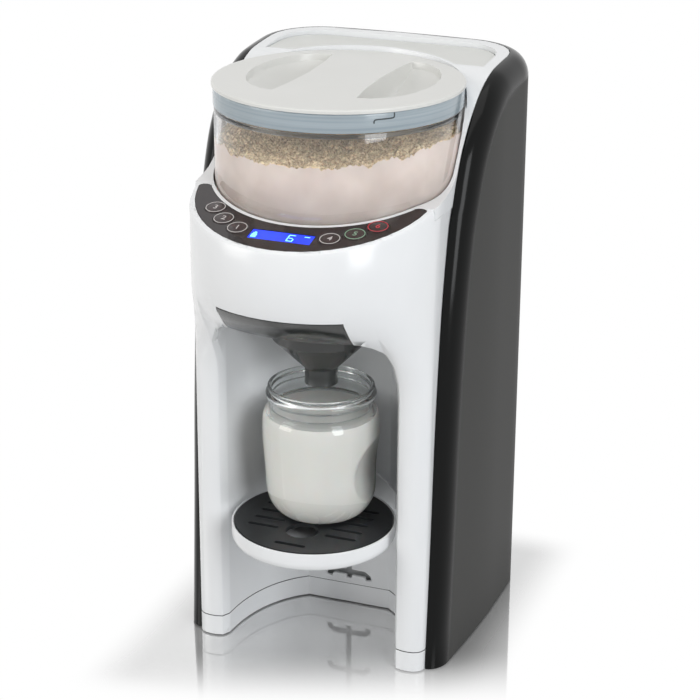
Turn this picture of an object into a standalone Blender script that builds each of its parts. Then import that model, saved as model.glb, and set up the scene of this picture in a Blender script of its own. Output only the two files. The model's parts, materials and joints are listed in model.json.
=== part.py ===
"""Baby formula maker: powder container on top, bottle bay below, water tank and works behind."""

import math

import bmesh
import bpy
import numpy as np

for old_object in list(bpy.data.objects):
    bpy.data.objects.remove(old_object, do_unlink=True)

# Driving sizes, in metres. X is the width, -Y the front, Z up, and the table is at zero.
body_half_width = 0.0783
deck_high_z = 0.3720
body_rear_share = 1.427842
body_rear_y = body_half_width * body_rear_share
head_centre_y = -0.0399
lid_axis_y = -0.0066
gap = 0.0003
overrun = 0.002
wall = 0.0025
half_turn = math.pi
full_turn = 2 * math.pi

# Plan of the white body: straight sides, a round head in front and rounded rear corners
head_front_y = head_centre_y - body_half_width
body_flare = 0.0025
flare_start_y = -0.050
flare_end_y = 0.040
body_corner_radius = 0.032
rear_half_width = body_half_width + body_flare

# Legs: each ends in a rounded nose
nose_half_width = 0.011
nose_centre_x = body_half_width - nose_half_width
nose_base_y = -0.049
nose_depth = 0.011
nose_power = 2.6

# Bottle bay
leg_width = 0.0205
bay_half_width = body_half_width - leg_width
bay_ceiling_share = 0.6172
bay_ceiling_z = deck_high_z * bay_ceiling_share
bay_mouth_y = -0.060
bay_depth = 0.085
bay_power = 2.4
bay_back_y = 0.0155
bay_fillet = 0.0206

# Heights of the front housing and of the chin that joins its head to its legs
foot_height = 0.0031
skirt_bottom_z = 0.001
tray_bottom_z = foot_height + gap
skirt_top_z = 0.0143
chin_drop = 0.0446
chin_rise = 0.0284
chin_low_z = bay_ceiling_z - chin_drop
chin_high_z = bay_ceiling_z + chin_rise
panel_height_share = 0.78414
panel_front_z = deck_high_z * panel_height_share
panel_slope = 0.22
head_plate = 0.005
head_edge_radius = 0.0035
side_rise = 0.008
housing_side_top_z = panel_front_z + side_rise
housing_rear_y = 0.025

# Dark outer shell
shell_wall = 0.0024
shell_bottom_z = skirt_bottom_z
stand_off_front = 0.0104
stand_off = 0.0125
stand_off_run = 0.10
shell_edge_width = 0.015
seam_front_y = -0.0533
seam_rear_margin = 0.0038
seam_run = body_rear_y - seam_front_y - seam_rear_margin
seam_overshoot = 0.003
seam_rise = deck_high_z + seam_overshoot
flange_width = 0.007

# Rear deck
deck_front_y = -0.0489
deck_rear_margin = 0.0055
deck_run = body_rear_y - deck_front_y - deck_rear_margin
deck_step = 0.0072
deck_low_z = housing_side_top_z + deck_step
deck_crown = 0.001
deck_skirt_z = housing_side_top_z + gap
deck_plate = 0.005

# Powder container, on the lid's axis, from the lid down
lid_drop = 0.0028
lid_top_z = deck_high_z - lid_drop
lid_inset = 0.0004
lid_radius = body_half_width - lid_inset
lid_plate = 0.0022
lid_rim = 0.0025
lid_lower_edge_z = lid_top_z - lid_rim
lid_overhang = 0.001
collar_radius = lid_radius - lid_overhang
collar_wall = 0.0022
collar_height = 0.0115
collar_top_z = lid_lower_edge_z - gap
collar_bottom_z = collar_top_z - collar_height
container_inset = 0.0005
container_radius = collar_radius - container_inset
container_wall = 0.002
waist_inset = 0.0039
container_waist_radius = container_radius - waist_inset
waist_rise = 0.0048
container_waist_z = panel_front_z + waist_rise
container_step = 0.0015
container_lip = 0.0024
gasket_room = 0.0024
container_neck_top_z = collar_top_z - gasket_room
container_play = 0.001
container_hole_radius = container_radius + container_play
deck_ring_wall = 0.0022
lid_well_play = 0.0006
lid_well_radius = lid_radius + lid_well_play
lid_well_depth = 0.0019
lid_well_z = collar_bottom_z - lid_well_depth

# Shelf, cradle and dosing drive
shelf_rise = 0.0052
shelf_bottom_z = bay_ceiling_z + shelf_rise
shelf_plate = 0.0025
shelf_top_z = shelf_bottom_z + shelf_plate
cradle_play = 0.0006
cradle_wall = 0.0022
cradle_radius = container_waist_radius + cradle_play + cradle_wall
cradle_top_z = container_waist_z - container_step
cradle_rise = 0.0117
cradle_floor_z = shelf_top_z + cradle_rise
cradle_floor = 0.0028
waist_modules = 36.25
gear_module = container_waist_radius / waist_modules
dose_offset_modules = 14.4
dose_offset = gear_module * dose_offset_modules
dose_hole_modules = 4
dose_hole_radius = gear_module * dose_hole_modules
wheel_teeth = 46
pinion_teeth = 9
mesh_play = 0.0002
wheel_height = 0.009
shaft_radius = 0.003

# Tilted control panel
fascia_thickness = 0.0022
fascia_inset = 0.0037
fascia_play = 0.0021
fascia_inner_radius = lid_radius + fascia_play
fascia_tip_y = -0.0525
fascia_tip_round = 0.0026
button_ring_shift = 0.0012
button_ring_y = head_centre_y + button_ring_shift
button_ring_inset = 0.0143
button_ring_radius = body_half_width - button_ring_inset
button_first_angle = math.radians(27.2)
button_angle_step = math.radians(13.5)
button_share = 0.1
button_radius = button_ring_radius * button_share
button_travel = 0.0008
button_proud = 0.0006
button_clearance = 0.0004
display_share = 0.30625
display_half_width = button_ring_radius * display_share
display_setback = 0.014
display_front_y = head_front_y + display_setback
display_depth = 0.0101

# Funnel and chute
funnel_y = lid_axis_y - dose_offset
funnel_tube_radius = 0.0105
funnel_drop = 0.0486
funnel_outlet_z = bay_ceiling_z - funnel_drop
funnel_tube_length = 0.0105
funnel_tube_top_z = funnel_outlet_z + funnel_tube_length
funnel_cone_height = 0.0205
funnel_cone_top_z = funnel_tube_top_z + funnel_cone_height
funnel_radius = 0.031
funnel_wall = 0.002
funnel_flange_half = 0.036
funnel_flange = 0.002
funnel_play = 0.0006
cover_margin = 0.0174
cover_half_width = bay_half_width - cover_margin
cover_height = 0.0184
cover_top_z = bay_ceiling_z + cover_height
chute_radius = 0.0125
chute_wall = 0.002

# Bottle stand and bottle
dish_margin = 0.0053
dish_radius = bay_half_width - dish_margin
bracket_reach = 0.011
dish_y = bay_back_y - bracket_reach - dish_radius
pouring_height = 0.0892
grate_top_z = funnel_outlet_z - pouring_height
dish_height = 0.0146
dish_bottom_z = grate_top_z - dish_height
dish_wall = 0.0025
dish_rim = 0.0019
grate_radius = dish_radius - dish_rim
grate_thickness = 0.0025
stand_levels = 3
stand_pitch_share = 0.3886
stand_pitch = dish_bottom_z * stand_pitch_share
bottle_height = 0.0876
bottle_radius_share = 0.6488
bottle_body_radius = bay_half_width * bottle_radius_share
bottle_neck_share = 0.8667
bottle_neck_radius = bottle_body_radius * bottle_neck_share
bottle_rim_share = 0.9067
bottle_rim_radius = bottle_body_radius * bottle_rim_share
bottle_bead_share = 0.9387
bottle_bead_radius = bottle_body_radius * bottle_bead_share
glass_wall = 0.0025

# Water system at the rear, and the chassis that it stands on
tank_clearance = 0.0051
tank_front_radius = container_hole_radius + tank_clearance
tank_margin = 0.0078
tank_half_width = body_half_width - tank_margin
tank_rear_margin = 0.0113
tank_rear_y = body_rear_y - tank_rear_margin
tank_front_y = 0.056
tank_corner = 0.024
tank_wall = 0.002
tank_bottom_z = 0.0505
tank_play = 0.0006
tank_lid_rise = 0.0002
tank_lid_top_z = lid_top_z + tank_lid_rise
tank_lid_overlap = 0.0025
tank_lid_thickness = 0.0026
hinge_rise = 0.0012
tube_radius = 0.003
chassis_margin = 0.0203
chassis_half = body_half_width - chassis_margin
chassis_clearance = 0.003
chassis_front_y = bay_back_y + wall + chassis_clearance
chassis_rear_margin = 0.0138
chassis_rear_y = body_rear_y - chassis_rear_margin
chassis_plate = 0.0025


# Materials
def linear(value):
    """One sRGB channel, 0 to 255, as a linear share."""
    share = value / 255
    return share / 12.92 if share <= 0.04045 else ((share + 0.055) / 1.055) ** 2.4


def finish(name, colour, roughness, metallic=0.0, see_through=0.0):
    """A material with the part's own colour, given as three sRGB values."""
    material = bpy.data.materials.new(name)
    material.use_nodes = True
    shader = material.node_tree.nodes["Principled BSDF"]
    shader.inputs["Base Color"].default_value = [linear(channel) for channel in colour] + [1]
    shader.inputs["Roughness"].default_value = roughness
    shader.inputs["Metallic"].default_value = metallic
    shader.inputs["Transmission Weight"].default_value = see_through
    return material


white_gloss = finish("white_gloss", (238, 240, 242), 0.18)
white_satin = finish("white_satin", (226, 228, 228), 0.35)
pale_grey = finish("pale_grey", (211, 212, 207), 0.35)
charcoal = finish("charcoal", (74, 74, 72), 0.4)
panel_black = finish("panel_black", (29, 17, 18), 0.1)
display_blue = finish("display_blue", (26, 69, 255), 0.2)
button_dark = finish("button_dark", (43, 31, 31), 0.3)
clear_plastic = finish("clear_plastic", (235, 238, 240), 0.05, see_through=1.0)
collar_grey = finish("collar_grey", (159, 176, 186), 0.2, see_through=0.6)
smoke_grey = finish("smoke_grey", (74, 76, 75), 0.15, see_through=0.5)
grate_black = finish("grate_black", (38, 40, 42), 0.4)
clear_glass = finish("clear_glass", (240, 244, 244), 0.02, see_through=1.0)
works_grey = finish("works_grey", (120, 124, 128), 0.5)
motor_steel = finish("motor_steel", (160, 162, 165), 0.3, metallic=1.0)
gear_white = finish("gear_white", (225, 222, 210), 0.4)
seal_rubber = finish("seal_rubber", (60, 60, 62), 0.8)
silicone = finish("silicone", (205, 208, 210), 0.6)
board_green = finish("board_green", (28, 92, 58), 0.5)
screw_steel = finish("screw_steel", (185, 187, 190), 0.3, metallic=1.0)
powder_tan = finish("powder_tan", (198, 182, 166), 0.9)


# Meshes and cuts
def make_object(name, vertices, faces, material, pivot=(0, 0, 0), parent=None):
    """One closed solid from world points, with its origin at the pivot."""
    pivot = np.array(pivot, float)
    mesh = bpy.data.meshes.new(name)
    mesh.from_pydata((np.asarray(vertices, float) - pivot).tolist(), [], [list(face) for face in faces])
    working = bmesh.new()
    working.from_mesh(mesh)
    bmesh.ops.recalc_face_normals(working, faces=working.faces)
    working.to_mesh(mesh)
    working.free()
    mesh.shade_smooth()
    mesh.set_sharp_from_angle(angle=half_turn / 6)
    solid = bpy.data.objects.new(name, mesh)
    solid.location = pivot
    bpy.context.scene.collection.objects.link(solid)
    if parent is not None:
        solid.parent = parent
    if material is not None:
        mesh.materials.append(material)
    return solid


def combine(target, other, operation):
    """Joins, cuts or crops the target with another shape, which is then only a hidden tool."""
    other.hide_render = True
    other.display_type = "WIRE"
    change = target.modifiers.new(other.name, "BOOLEAN")
    change.operation = operation
    change.solver = "EXACT"
    change.object = other
    return target


def cut(target, *tools):
    for tool in tools:
        combine(target, tool, "DIFFERENCE")
    return target


def join(target, *tools):
    for tool in tools:
        combine(target, tool, "UNION")
    return target


def crop(target, *tools):
    for tool in tools:
        combine(target, tool, "INTERSECT")
    return target


def loft(rings):
    """Vertices and faces of a closed solid through rings of equal length, with flat ends."""
    count = len(rings[0])
    vertices = [point for ring in rings for point in ring]
    faces = [list(range(count)), [len(vertices) - 1 - index for index in range(count)]]
    for level in range(len(rings) - 1):
        low = level * count
        for index in range(count):
            following = (index + 1) % count
            faces.append([low + index, low + following, low + count + following, low + count + index])
    return vertices, faces


def prism(outline, low, high):
    """An outline of (x, y) points carried from one height to another."""
    return loft([[(x, y, low) for x, y in outline], [(x, y, high) for x, y in outline]])


def slab(outline, low, high):
    """An outline of (y, z) points carried along X."""
    return loft([[(low, y, z) for y, z in outline], [(high, y, z) for y, z in outline]])


def upright(outline, front, back):
    """An outline of (x, z) points carried along Y."""
    return loft([[(x, front, z) for x, z in outline], [(x, back, z) for x, z in outline]])


def block(low_corner, high_corner):
    x0, y0, z0 = low_corner
    x1, y1, z1 = high_corner
    return prism([(x0, y0), (x1, y0), (x1, y1), (x0, y1)], z0, z1)


def turned(profile, x=0.0, y=0.0, sides=32):
    """A closed outline of (radius, height) points turned about a vertical axis."""
    vertices = []
    rings = []
    for radius, height in profile:
        if radius <= 0:
            rings.append([len(vertices)] * sides)
            vertices.append((x, y, height))
            continue
        first = len(vertices)
        rings.append([first + side for side in range(sides)])
        for side in range(sides):
            angle = full_turn * side / sides
            vertices.append((x + radius * math.sin(angle), y - radius * math.cos(angle), height))
    faces = []
    for here, there in zip(rings, rings[1:] + rings[:1]):
        for side in range(sides):
            corners = [here[side], here[(side + 1) % sides], there[(side + 1) % sides], there[side]]
            face = list(dict.fromkeys(corners))
            if len(face) > 2:
                faces.append(face)
    return vertices, faces


def circle(radius, x=0.0, y=0.0, sides=32):
    angles = [full_turn * side / sides for side in range(sides)]
    return [(x + radius * math.sin(angle), y - radius * math.cos(angle)) for angle in angles]


def disc(radius, low, high, x=0.0, y=0.0, sides=32):
    return prism(circle(radius, x, y, sides), low, high)


def rounded_box(half_x, half_y, radius, x=0.0, y=0.0, steps=4):
    """A rectangle with round corners, as (x, y) points."""
    points = []
    for turn, (side_x, side_y) in enumerate(((1, 1), (-1, 1), (-1, -1), (1, -1))):
        for step in range(steps + 1):
            angle = half_turn / 2 * (turn + step / steps)
            points.append(
                (
                    x + side_x * (half_x - radius) + radius * math.cos(angle),
                    y + side_y * (half_y - radius) + radius * math.sin(angle),
                )
            )
    return points


def smooth_curve(points, steps):
    """A Catmull-Rom curve through the points, with the given steps between each two."""
    ends = [2 * np.array(points[0]) - np.array(points[1])]
    tail = [2 * np.array(points[-1]) - np.array(points[-2])]
    knots = ends + [np.array(point, float) for point in points] + tail
    curve = []
    for before, start, stop, after in zip(knots, knots[1:], knots[2:], knots[3:]):
        for step in range(steps):
            t = step / steps
            curve.append(
                0.5
                * (
                    2 * start
                    + (stop - before) * t
                    + (2 * before - 5 * start + 4 * stop - after) * t**2
                    + (3 * start - before - 3 * stop + after) * t**3
                )
            )
    curve.append(knots[-2])
    return np.array(curve)


def stroke(path, width):
    """The outline of a band of even width along an open path of (x, z) points."""
    path = np.array(path, float)
    along = np.gradient(path, axis=0)
    along /= np.linalg.norm(along, axis=1)[:, None]
    side = np.stack([-along[:, 1], along[:, 0]], 1) * width / 2
    return [tuple(point) for point in np.concatenate([path + side, (path - side)[::-1]])]


def tool(shape):
    """A bare shape that only cuts or joins."""
    return make_object("tool", *shape, None)


def tube(name, path, radius, material):
    """A hose: a curve with a round bevel through the path's points."""
    data = bpy.data.curves.new(name, "CURVE")
    data.dimensions = "3D"
    spline = data.splines.new("POLY")
    points = smooth_curve(path, 3)
    spline.points.add(len(points) - 1)
    for knot, point in zip(spline.points, points):
        knot.co = (*point, 1)
    data.bevel_depth = radius
    data.bevel_resolution = 1
    data.use_fill_caps = True
    data.materials.append(material)
    hose = bpy.data.objects.new(name, data)
    bpy.context.scene.collection.objects.link(hose)
    return hose


def empty_at(name, place, tilt=0.0):
    frame = bpy.data.objects.new(name, None)
    frame.location = place
    frame.rotation_euler = (tilt, 0, 0)
    bpy.context.scene.collection.objects.link(frame)
    return frame


# Shape of the white body

def panel_z(y):
    """Height of the tilted plane in which the control panel lies."""
    return panel_front_z + panel_slope * (y - head_front_y)


def chin_share(z):
    """How far the front has grown from the legs, at 0, to the head, at 1."""
    t = min(max((z - chin_low_z) / (chin_high_z - chin_low_z), 0), 1)
    return t * t * (3 - 2 * t)


def front_outline(share, inset, steps=32):
    """The front from the right side round to the left, drawn in by the inset."""
    radius = body_half_width - inset
    reach = nose_half_width - inset
    points = []
    for step in range(steps + 1):
        angle = half_turn * (0.5 - step / steps)
        x = radius * math.sin(angle)
        head_y = head_centre_y - radius * math.cos(angle)
        aside = min(abs(abs(x) - nose_centre_x) / reach, 1)
        leg_y = nose_base_y
        if abs(x) > nose_centre_x - reach:
            leg_y -= (nose_depth - inset) * (1 - aside**nose_power) ** (1 / nose_power)
        points.append((x, (1 - share) * leg_y + share * head_y))
    return points


def front_block(levels, inset, rear_y):
    """The solid front from (height, inset) levels; a height of None is the panel's plane."""
    rings = []
    for z, extra, drop in levels:
        share = 1.0 if z is None else chin_share(z)
        outline = front_outline(share, inset + extra)
        outline += [(-body_half_width + inset + extra, rear_y), (body_half_width - inset - extra, rear_y)]
        rings.append([(x, y, panel_z(y) - drop if z is None else z) for x, y in outline])
    return loft(rings)


def bay_outline(half_width, depth, back_y):
    """The bay's plan: a deep round-cornered recess with a flat back, open to the front."""
    reach = back_y - bay_mouth_y
    right = [(half_width, head_front_y - body_half_width)]
    for step in range(15):
        along = reach * math.sin(half_turn / 2 * step / 14)
        x = half_width * math.sqrt(max(1 - (along / depth) ** bay_power, 0))
        right.append((x, bay_mouth_y + along))
    return right + [(-x, y) for x, y in right[::-1]]


def bay_block(grow, low):
    """The space of the bay, grown by a wall, with a fillet under its ceiling."""
    fillet = bay_fillet + grow
    fillet_z = bay_ceiling_z - bay_fillet
    rings = []
    for z in [low] + [fillet_z + fillet * math.sin(half_turn / 2 * step / 5) for step in range(6)]:
        drawn_in = fillet - math.sqrt(max(fillet**2 - max(z - fillet_z, 0) ** 2, 0))
        outline = bay_outline(
            bay_half_width + grow - drawn_in, bay_depth + grow - drawn_in, bay_back_y + grow - drawn_in
        )
        rings.append([(x, y, z) for x, y in outline])
    return loft(rings)


# Line where the dark shell meets the white body, as shares of its run along the side and of its height
seam_low_shares = (
    (0.0, 0.0),
    (0.039, 0.251),
    (0.0645, 0.437),
    (0.110, 0.627),
    (0.168, 0.759),
    (0.201, 0.797),
    (0.240, 0.840),
)
deck_shares = (
    (0.0, 0.0),
    (0.09, 0.028),
    (0.16, 0.075),
    (0.221, 0.17),
    (0.282, 0.395),
    (0.376, 0.655),
    (0.477, 0.832),
    (0.585, 0.937),
    (0.679, 0.972),
    (0.87, 0.995),
    (1.0, 1.0),
)
deck_line = smooth_curve(
    [
        (deck_front_y + deck_run * run, deck_low_z + (deck_high_z - deck_low_z) * rise)
        for run, rise in deck_shares
    ],
    3,
)


def deck_z(y):
    """Height of the deck's outer edge at a depth."""
    return float(np.interp(y, deck_line[:, 0], deck_line[:, 1]))


seam_join = 4
seam_points = [
    (seam_front_y + seam_run * run, max(seam_rise * rise, shell_bottom_z)) for run, rise in seam_low_shares
]
seam_points += [tuple(deck_line[3 * index]) for index in range(seam_join, len(deck_shares))]
seam_line = smooth_curve(seam_points, 3)


# Dark outer shell, worked out on its run along the body's plan and its height
corner_steps = 6
side_run = body_rear_y - body_corner_radius - seam_front_y
corner_run = half_turn / 2 * body_corner_radius

half_run = side_run + corner_run + rear_half_width - body_corner_radius
side_shares = (0, 0.008, 0.024, 0.05, 0.09, 0.15, 0.3, 0.5, 0.74)
rise_shares = (0, 0.3, 0.55, 0.72, 0.83, 0.9, 0.945, 0.97, 0.988, 1)
shell_runs = [side_run * share for share in side_shares]
shell_runs += [side_run + corner_run * step / corner_steps for step in range(corner_steps + 1)]
shell_runs.append(half_run)
shoulder_share_index = 5


def half_width_at(y):
    """Half the body's width, which flares a little from the head to the rear."""
    t = min(max((y - flare_start_y) / (flare_end_y - flare_start_y), 0), 1)
    return body_half_width + body_flare * t * t * (3 - 2 * t)


def plan_at(run):
    """Point and outward direction on the body's plan at a run from the seam's front end."""
    if run < side_run:
        return (half_width_at(seam_front_y + run), seam_front_y + run), (1.0, 0.0)
    turn = (run - side_run) / body_corner_radius
    centre_x = rear_half_width - body_corner_radius
    centre_y = body_rear_y - body_corner_radius
    if turn < half_turn / 2:
        away = (math.cos(turn), math.sin(turn))
        return (centre_x + body_corner_radius * away[0], centre_y + body_corner_radius * away[1]), away
    return (half_run - run, body_rear_y), (0.0, 1.0)


def crown_z(x, y):
    """How much the deck's middle stands above its outer edge."""
    rise = min(max((y - deck_front_y) / deck_run - 0.5, 0) * 2.5, 1)
    return deck_crown * rise * max(1 - (x / body_half_width) ** 2, 0)


def seam_on_run():
    """The seam as (run, height) points, from the front foot over the shoulder to the rear middle."""
    line = [(y - seam_front_y, z) for y, z in seam_line if y - seam_front_y < side_run]
    runs = np.linspace(side_run, half_run, 9)
    for run in runs:
        (x, y), away = plan_at(run)
        line.append((run, deck_z(y) + crown_z(x, y)))
    return np.array(line)


def nearest(line, point):
    """Least distance from a point to a polyline."""
    start, step = line[:-1], np.diff(line, axis=0)
    share = np.clip(((point - start) * step).sum(1) / (step**2).sum(1), 0, 1)
    return float(np.linalg.norm(start + share[:, None] * step - point, axis=1).min())


def part_way(line, share):
    """The point at a share of a polyline's length."""
    lengths = np.concatenate([[0], np.cumsum(np.linalg.norm(np.diff(line, axis=0), axis=1))])
    return np.array([np.interp(share * lengths[-1], lengths, line[:, axis]) for axis in (0, 1)])


seam = seam_on_run()
shoulder_y = deck_front_y + deck_run * deck_shares[shoulder_share_index][0]
shoulder = int(np.argmin(abs(seam[:, 0] - (shoulder_y - seam_front_y))))


def shell_grid(depth):
    """One face of the shell, at a depth below its outer face, as columns of points."""
    step = np.gradient(seam, axis=0)
    step /= np.linalg.norm(step, axis=1)[:, None]
    edge = seam + depth * np.stack([step[:, 1], -step[:, 0]], 1)
    edge[0] = (depth, shell_bottom_z)
    edge[-1, 0] = half_run
    front, top = edge[: shoulder + 1], edge[shoulder:]
    columns = []
    for run in shell_runs:
        along = min(run / side_run, 1)
        low_run = max(run, depth + (side_run - depth) * along)
        high_run = max(run, top[0, 0] + (side_run - top[0, 0]) * along)
        low = np.array([low_run, shell_bottom_z])
        high = np.array([high_run, np.interp(high_run, top[:, 0], top[:, 1])])
        column = []
        for share in rise_shares:
            bow = part_way(front, share) - (1 - share) * front[0] - share * front[-1]
            point = (1 - share) * low + share * high + (1 - along) ** 2 * bow
            stretch = min(point[0] / stand_off_run, 1)
            reach = stand_off_front + (stand_off - stand_off_front) * stretch * (2 - stretch) - depth
            inward = min(max((nearest(seam, point) - depth) / (shell_edge_width - depth), 0), 1)
            rise = gap + (reach - gap) * math.sqrt(1 - (1 - inward) ** 2)
            (x, y), away = plan_at(point[0])
            column.append((x + rise * away[0], y + rise * away[1], point[1]))
        columns.append(column)
    mirrored = [[(-x, y, z) for x, y, z in column] for column in columns[-2::-1]]
    middle = [[(0.0, y, z) for x, y, z in columns[-1]]]
    return columns[:-1] + middle + mirrored


def between(outer, inner):
    """A wall between two grids of points of one size."""
    count, height = len(outer), len(outer[0])
    vertices = [point for column in outer + inner for point in column]
    second = count * height
    faces = []
    for i in range(count - 1):
        for j in range(height - 1):
            low, high = i * height + j, (i + 1) * height + j
            faces.append([low, high, high + 1, low + 1])
            faces.append([second + low, second + low + 1, second + high + 1, second + high])
    rim = [(i, 0) for i in range(count)] + [(count - 1, j) for j in range(1, height)]
    rim += [(i, height - 1) for i in range(count - 2, -1, -1)] + [(0, j) for j in range(height - 2, 0, -1)]
    for (i, j), (k, m) in zip(rim, rim[1:] + rim[:1]):
        here, there = i * height + j, k * height + m
        faces.append([here, second + here, second + there, there])
    return vertices, faces


shell_outside = shell_grid(0.0)
shell_inside = shell_grid(shell_wall)
outer_shell = make_object("outer_shell", *between(shell_outside, shell_inside), charcoal)


# Walls of the white front, which stand on the base tray and carry on up to the head
def front_walls(name, levels, inner_levels, low):
    """White wall round the legs and the bay, open inside and behind."""
    solid = make_object(name, *front_block(levels, 0, housing_rear_y), white_gloss)
    inside = tool(front_block(inner_levels, wall, housing_rear_y + overrun))
    behind = [(y + flange_width, z) for y, z in seam_line if z < housing_side_top_z]
    behind[0] = (behind[0][0], low - overrun)
    behind += [(behind[-1][0], lid_top_z), (body_rear_y, lid_top_z), (body_rear_y, low - overrun)]
    side_reach = body_half_width + stand_off
    join(inside, tool(slab(behind, -side_reach, side_reach)))
    cut(inside, tool(bay_block(wall, low - wall)))
    cut(solid, tool(bay_block(0, low - 2 * wall)), inside)
    return solid


# Base tray, feet and screws
skirt = front_walls(
    "skirt",
    [(skirt_bottom_z, 0, 0), (skirt_top_z, 0, 0)],
    [(skirt_bottom_z - overrun, 0, 0), (skirt_top_z + overrun, 0, 0)],
    skirt_bottom_z,
)
tray_thickness = 0.0025
tray_inset = 0.0005
tray_flare_margin = 0.003
tray_flare_y = nose_base_y + tray_flare_margin
half_rim = [(x - gap, y - gap) for x, y, z in [column[0] for column in shell_inside[: len(shell_runs)]]]
half_rim = [(x, y) for x, y in half_rim if y > tray_flare_y]
half_rim[-1] = (0.0, half_rim[-1][1])
tray_outline = front_outline(0, tray_inset) + [(-x, y) for x, y in half_rim[:-1]] + half_rim[::-1]
tray_top_z = tray_bottom_z + tray_thickness

screw_radius = 0.0015
screw_head_radius = 0.003
screw_head = 0.0016
screw_hole_radius = screw_radius + gap
screw_inset = 0.004
screw_front_margin = 0.007
screw_rear_margin = 0.032
screw_x = chassis_half - screw_inset
screw_ys = (chassis_front_y + screw_front_margin, chassis_rear_y - screw_rear_margin)
screw_places = [(side * screw_x, y) for y in screw_ys for side in (-1, 1)]

base_tray = make_object("base_tray", *prism(tray_outline, tray_bottom_z, tray_top_z), white_gloss)
cut(base_tray, tool(bay_block(tray_inset, tray_bottom_z - 2 * wall)))
join(base_tray, skirt)
for x, y in screw_places:
    cut(base_tray, tool(disc(screw_hole_radius, tray_bottom_z - overrun, tray_top_z + overrun, x, y, 8)))

front_foot_radius = 0.0065
rear_foot_radius = 0.009
front_foot_shift = 0.001
rear_foot_inset = 0.0183
rear_foot_margin = 0.0238
rear_foot_x = body_half_width - rear_foot_inset
rear_foot_y = body_rear_y - rear_foot_margin
foot_places = [(side * nose_centre_x, nose_base_y - front_foot_shift, front_foot_radius) for side in (1, -1)]
foot_places += [(side * rear_foot_x, rear_foot_y, rear_foot_radius) for side in (1, -1)]
for number, (x, y, radius) in enumerate(foot_places, 1):
    foot_profile = [
        (0, foot_height),
        (radius, foot_height),
        (radius, foot_height / 2),
        (radius - foot_height / 2, 0),
        (0, 0),
    ]
    make_object(f"foot_{number}", *turned(foot_profile, x, y, 20), seal_rubber)

# Front housing: head, legs and bottle bay
housing_low_z = skirt_top_z + gap
chin_levels = [(chin_low_z + (chin_high_z - chin_low_z) * step / 6, 0, 0) for step in range(7)]
head_levels = [
    (None, 0, head_edge_radius),
    (None, 0.3 * head_edge_radius, 0.3 * head_edge_radius),
    (None, head_edge_radius, 0),
]
front_housing = front_walls(
    "front_housing",
    [(housing_low_z, 0, 0)] + chin_levels + head_levels,
    [(housing_low_z - overrun, 0, 0)] + chin_levels + [(None, 0, head_plate)],
    housing_low_z,
)
far_side = body_half_width + stand_off
far_front = head_front_y - stand_off
housing_cuts = [
    block((-far_side, deck_front_y - gap, housing_side_top_z), (far_side, body_rear_y, deck_high_z)),
    disc(container_hole_radius, cradle_top_z - head_plate - wall, deck_high_z, 0, lid_axis_y, 64),
    block(
        (-cover_half_width - gap, far_front, bay_ceiling_z - overrun),
        (cover_half_width + gap, funnel_y - funnel_radius - stand_off_front, cover_top_z + gap),
    ),
]
slot_half = funnel_radius + funnel_play
slot_end = [
    (slot_half * math.cos(angle), funnel_y + slot_half * math.sin(angle))
    for angle in np.linspace(0, half_turn, 17)
]
slot_front_y = funnel_y - 2 * funnel_radius
housing_cuts.append(
    prism(
        [(-slot_half, slot_front_y), (slot_half, slot_front_y)] + slot_end,
        bay_ceiling_z - bay_fillet,
        bay_ceiling_z + wall + overrun,
    )
)
for shape in housing_cuts:
    cut(front_housing, tool(shape))

# Slots in the bay's back wall: one upright slot, and an arched slot at each level of the stand
lug_half = 0.0015
lug_clearance = 0.0003
lug_rise = 0.0023
lug_low_z = dish_bottom_z + lug_rise
lug_height = 0.007
lug_high_z = lug_low_z + lug_height
slot_margin = 0.001
slot_low_z = lug_low_z - (stand_levels - 1) * stand_pitch - slot_margin
slot_band = 0.004
arch_half = 0.014
arch_rise = 0.0045
wall_front_y = bay_back_y - overrun
wall_back_y = bay_back_y + wall + overrun

cut(
    front_housing,
    tool(
        block(
            (-lug_half - lug_clearance, wall_front_y, slot_low_z),
            (lug_half + lug_clearance, wall_back_y, lug_high_z + gap),
        )
    ),
)
for level in range(stand_levels):
    foot_z = slot_low_z + level * stand_pitch
    arch = [
        (arch_half * side, foot_z + arch_rise * share)
        for side, share in ((-1, 0), (-0.98, 0.5), (-0.8, 0.95), (0, 1), (0.8, 0.95), (0.98, 0.5), (1, 0))
    ]
    cut(front_housing, tool(upright(stroke(arch, slot_band), wall_front_y, wall_back_y)))

# Control panel, built flat in a tilted frame whose Y runs up the slope
panel_tilt = math.atan(panel_slope)
panel = empty_at("panel_plane", (0, head_front_y, panel_front_z), panel_tilt)


def on_panel(points):
    """Plan points as points of the tilted plane."""
    return [(x, (y - head_front_y) / math.cos(panel_tilt)) for x, y in points]


def fascia_outline(grow):
    """The crescent between the head's edge and the container, with rounded tips."""
    outer = body_half_width - fascia_inset + grow
    inner = fascia_inner_radius - grow
    outer_end = math.acos((head_centre_y - fascia_tip_y) / outer)
    inner_end = math.acos((lid_axis_y - fascia_tip_y) / inner)
    outer_tip, inner_tip = outer * math.sin(outer_end), inner * math.sin(inner_end)
    points = []
    for angle in np.linspace(outer_end, -outer_end, 25):
        points.append((outer * math.sin(angle), head_centre_y - outer * math.cos(angle)))
    middle, half = (outer_tip + inner_tip) / 2, (outer_tip - inner_tip) / 2
    bulge = fascia_tip_round + grow
    turns = half_turn / 6 * np.arange(1, 6)
    tip = [(middle + half * math.cos(turn), fascia_tip_y + bulge * math.sin(turn)) for turn in turns]
    points += [(-x, y) for x, y in tip]
    for angle in np.linspace(-inner_end, inner_end, 25):
        points.append((inner * math.sin(angle), lid_axis_y - inner * math.cos(angle)))
    return on_panel(points + tip[::-1])


def panel_tool(shape):
    return make_object("tool", *shape, None, parent=panel)


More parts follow.
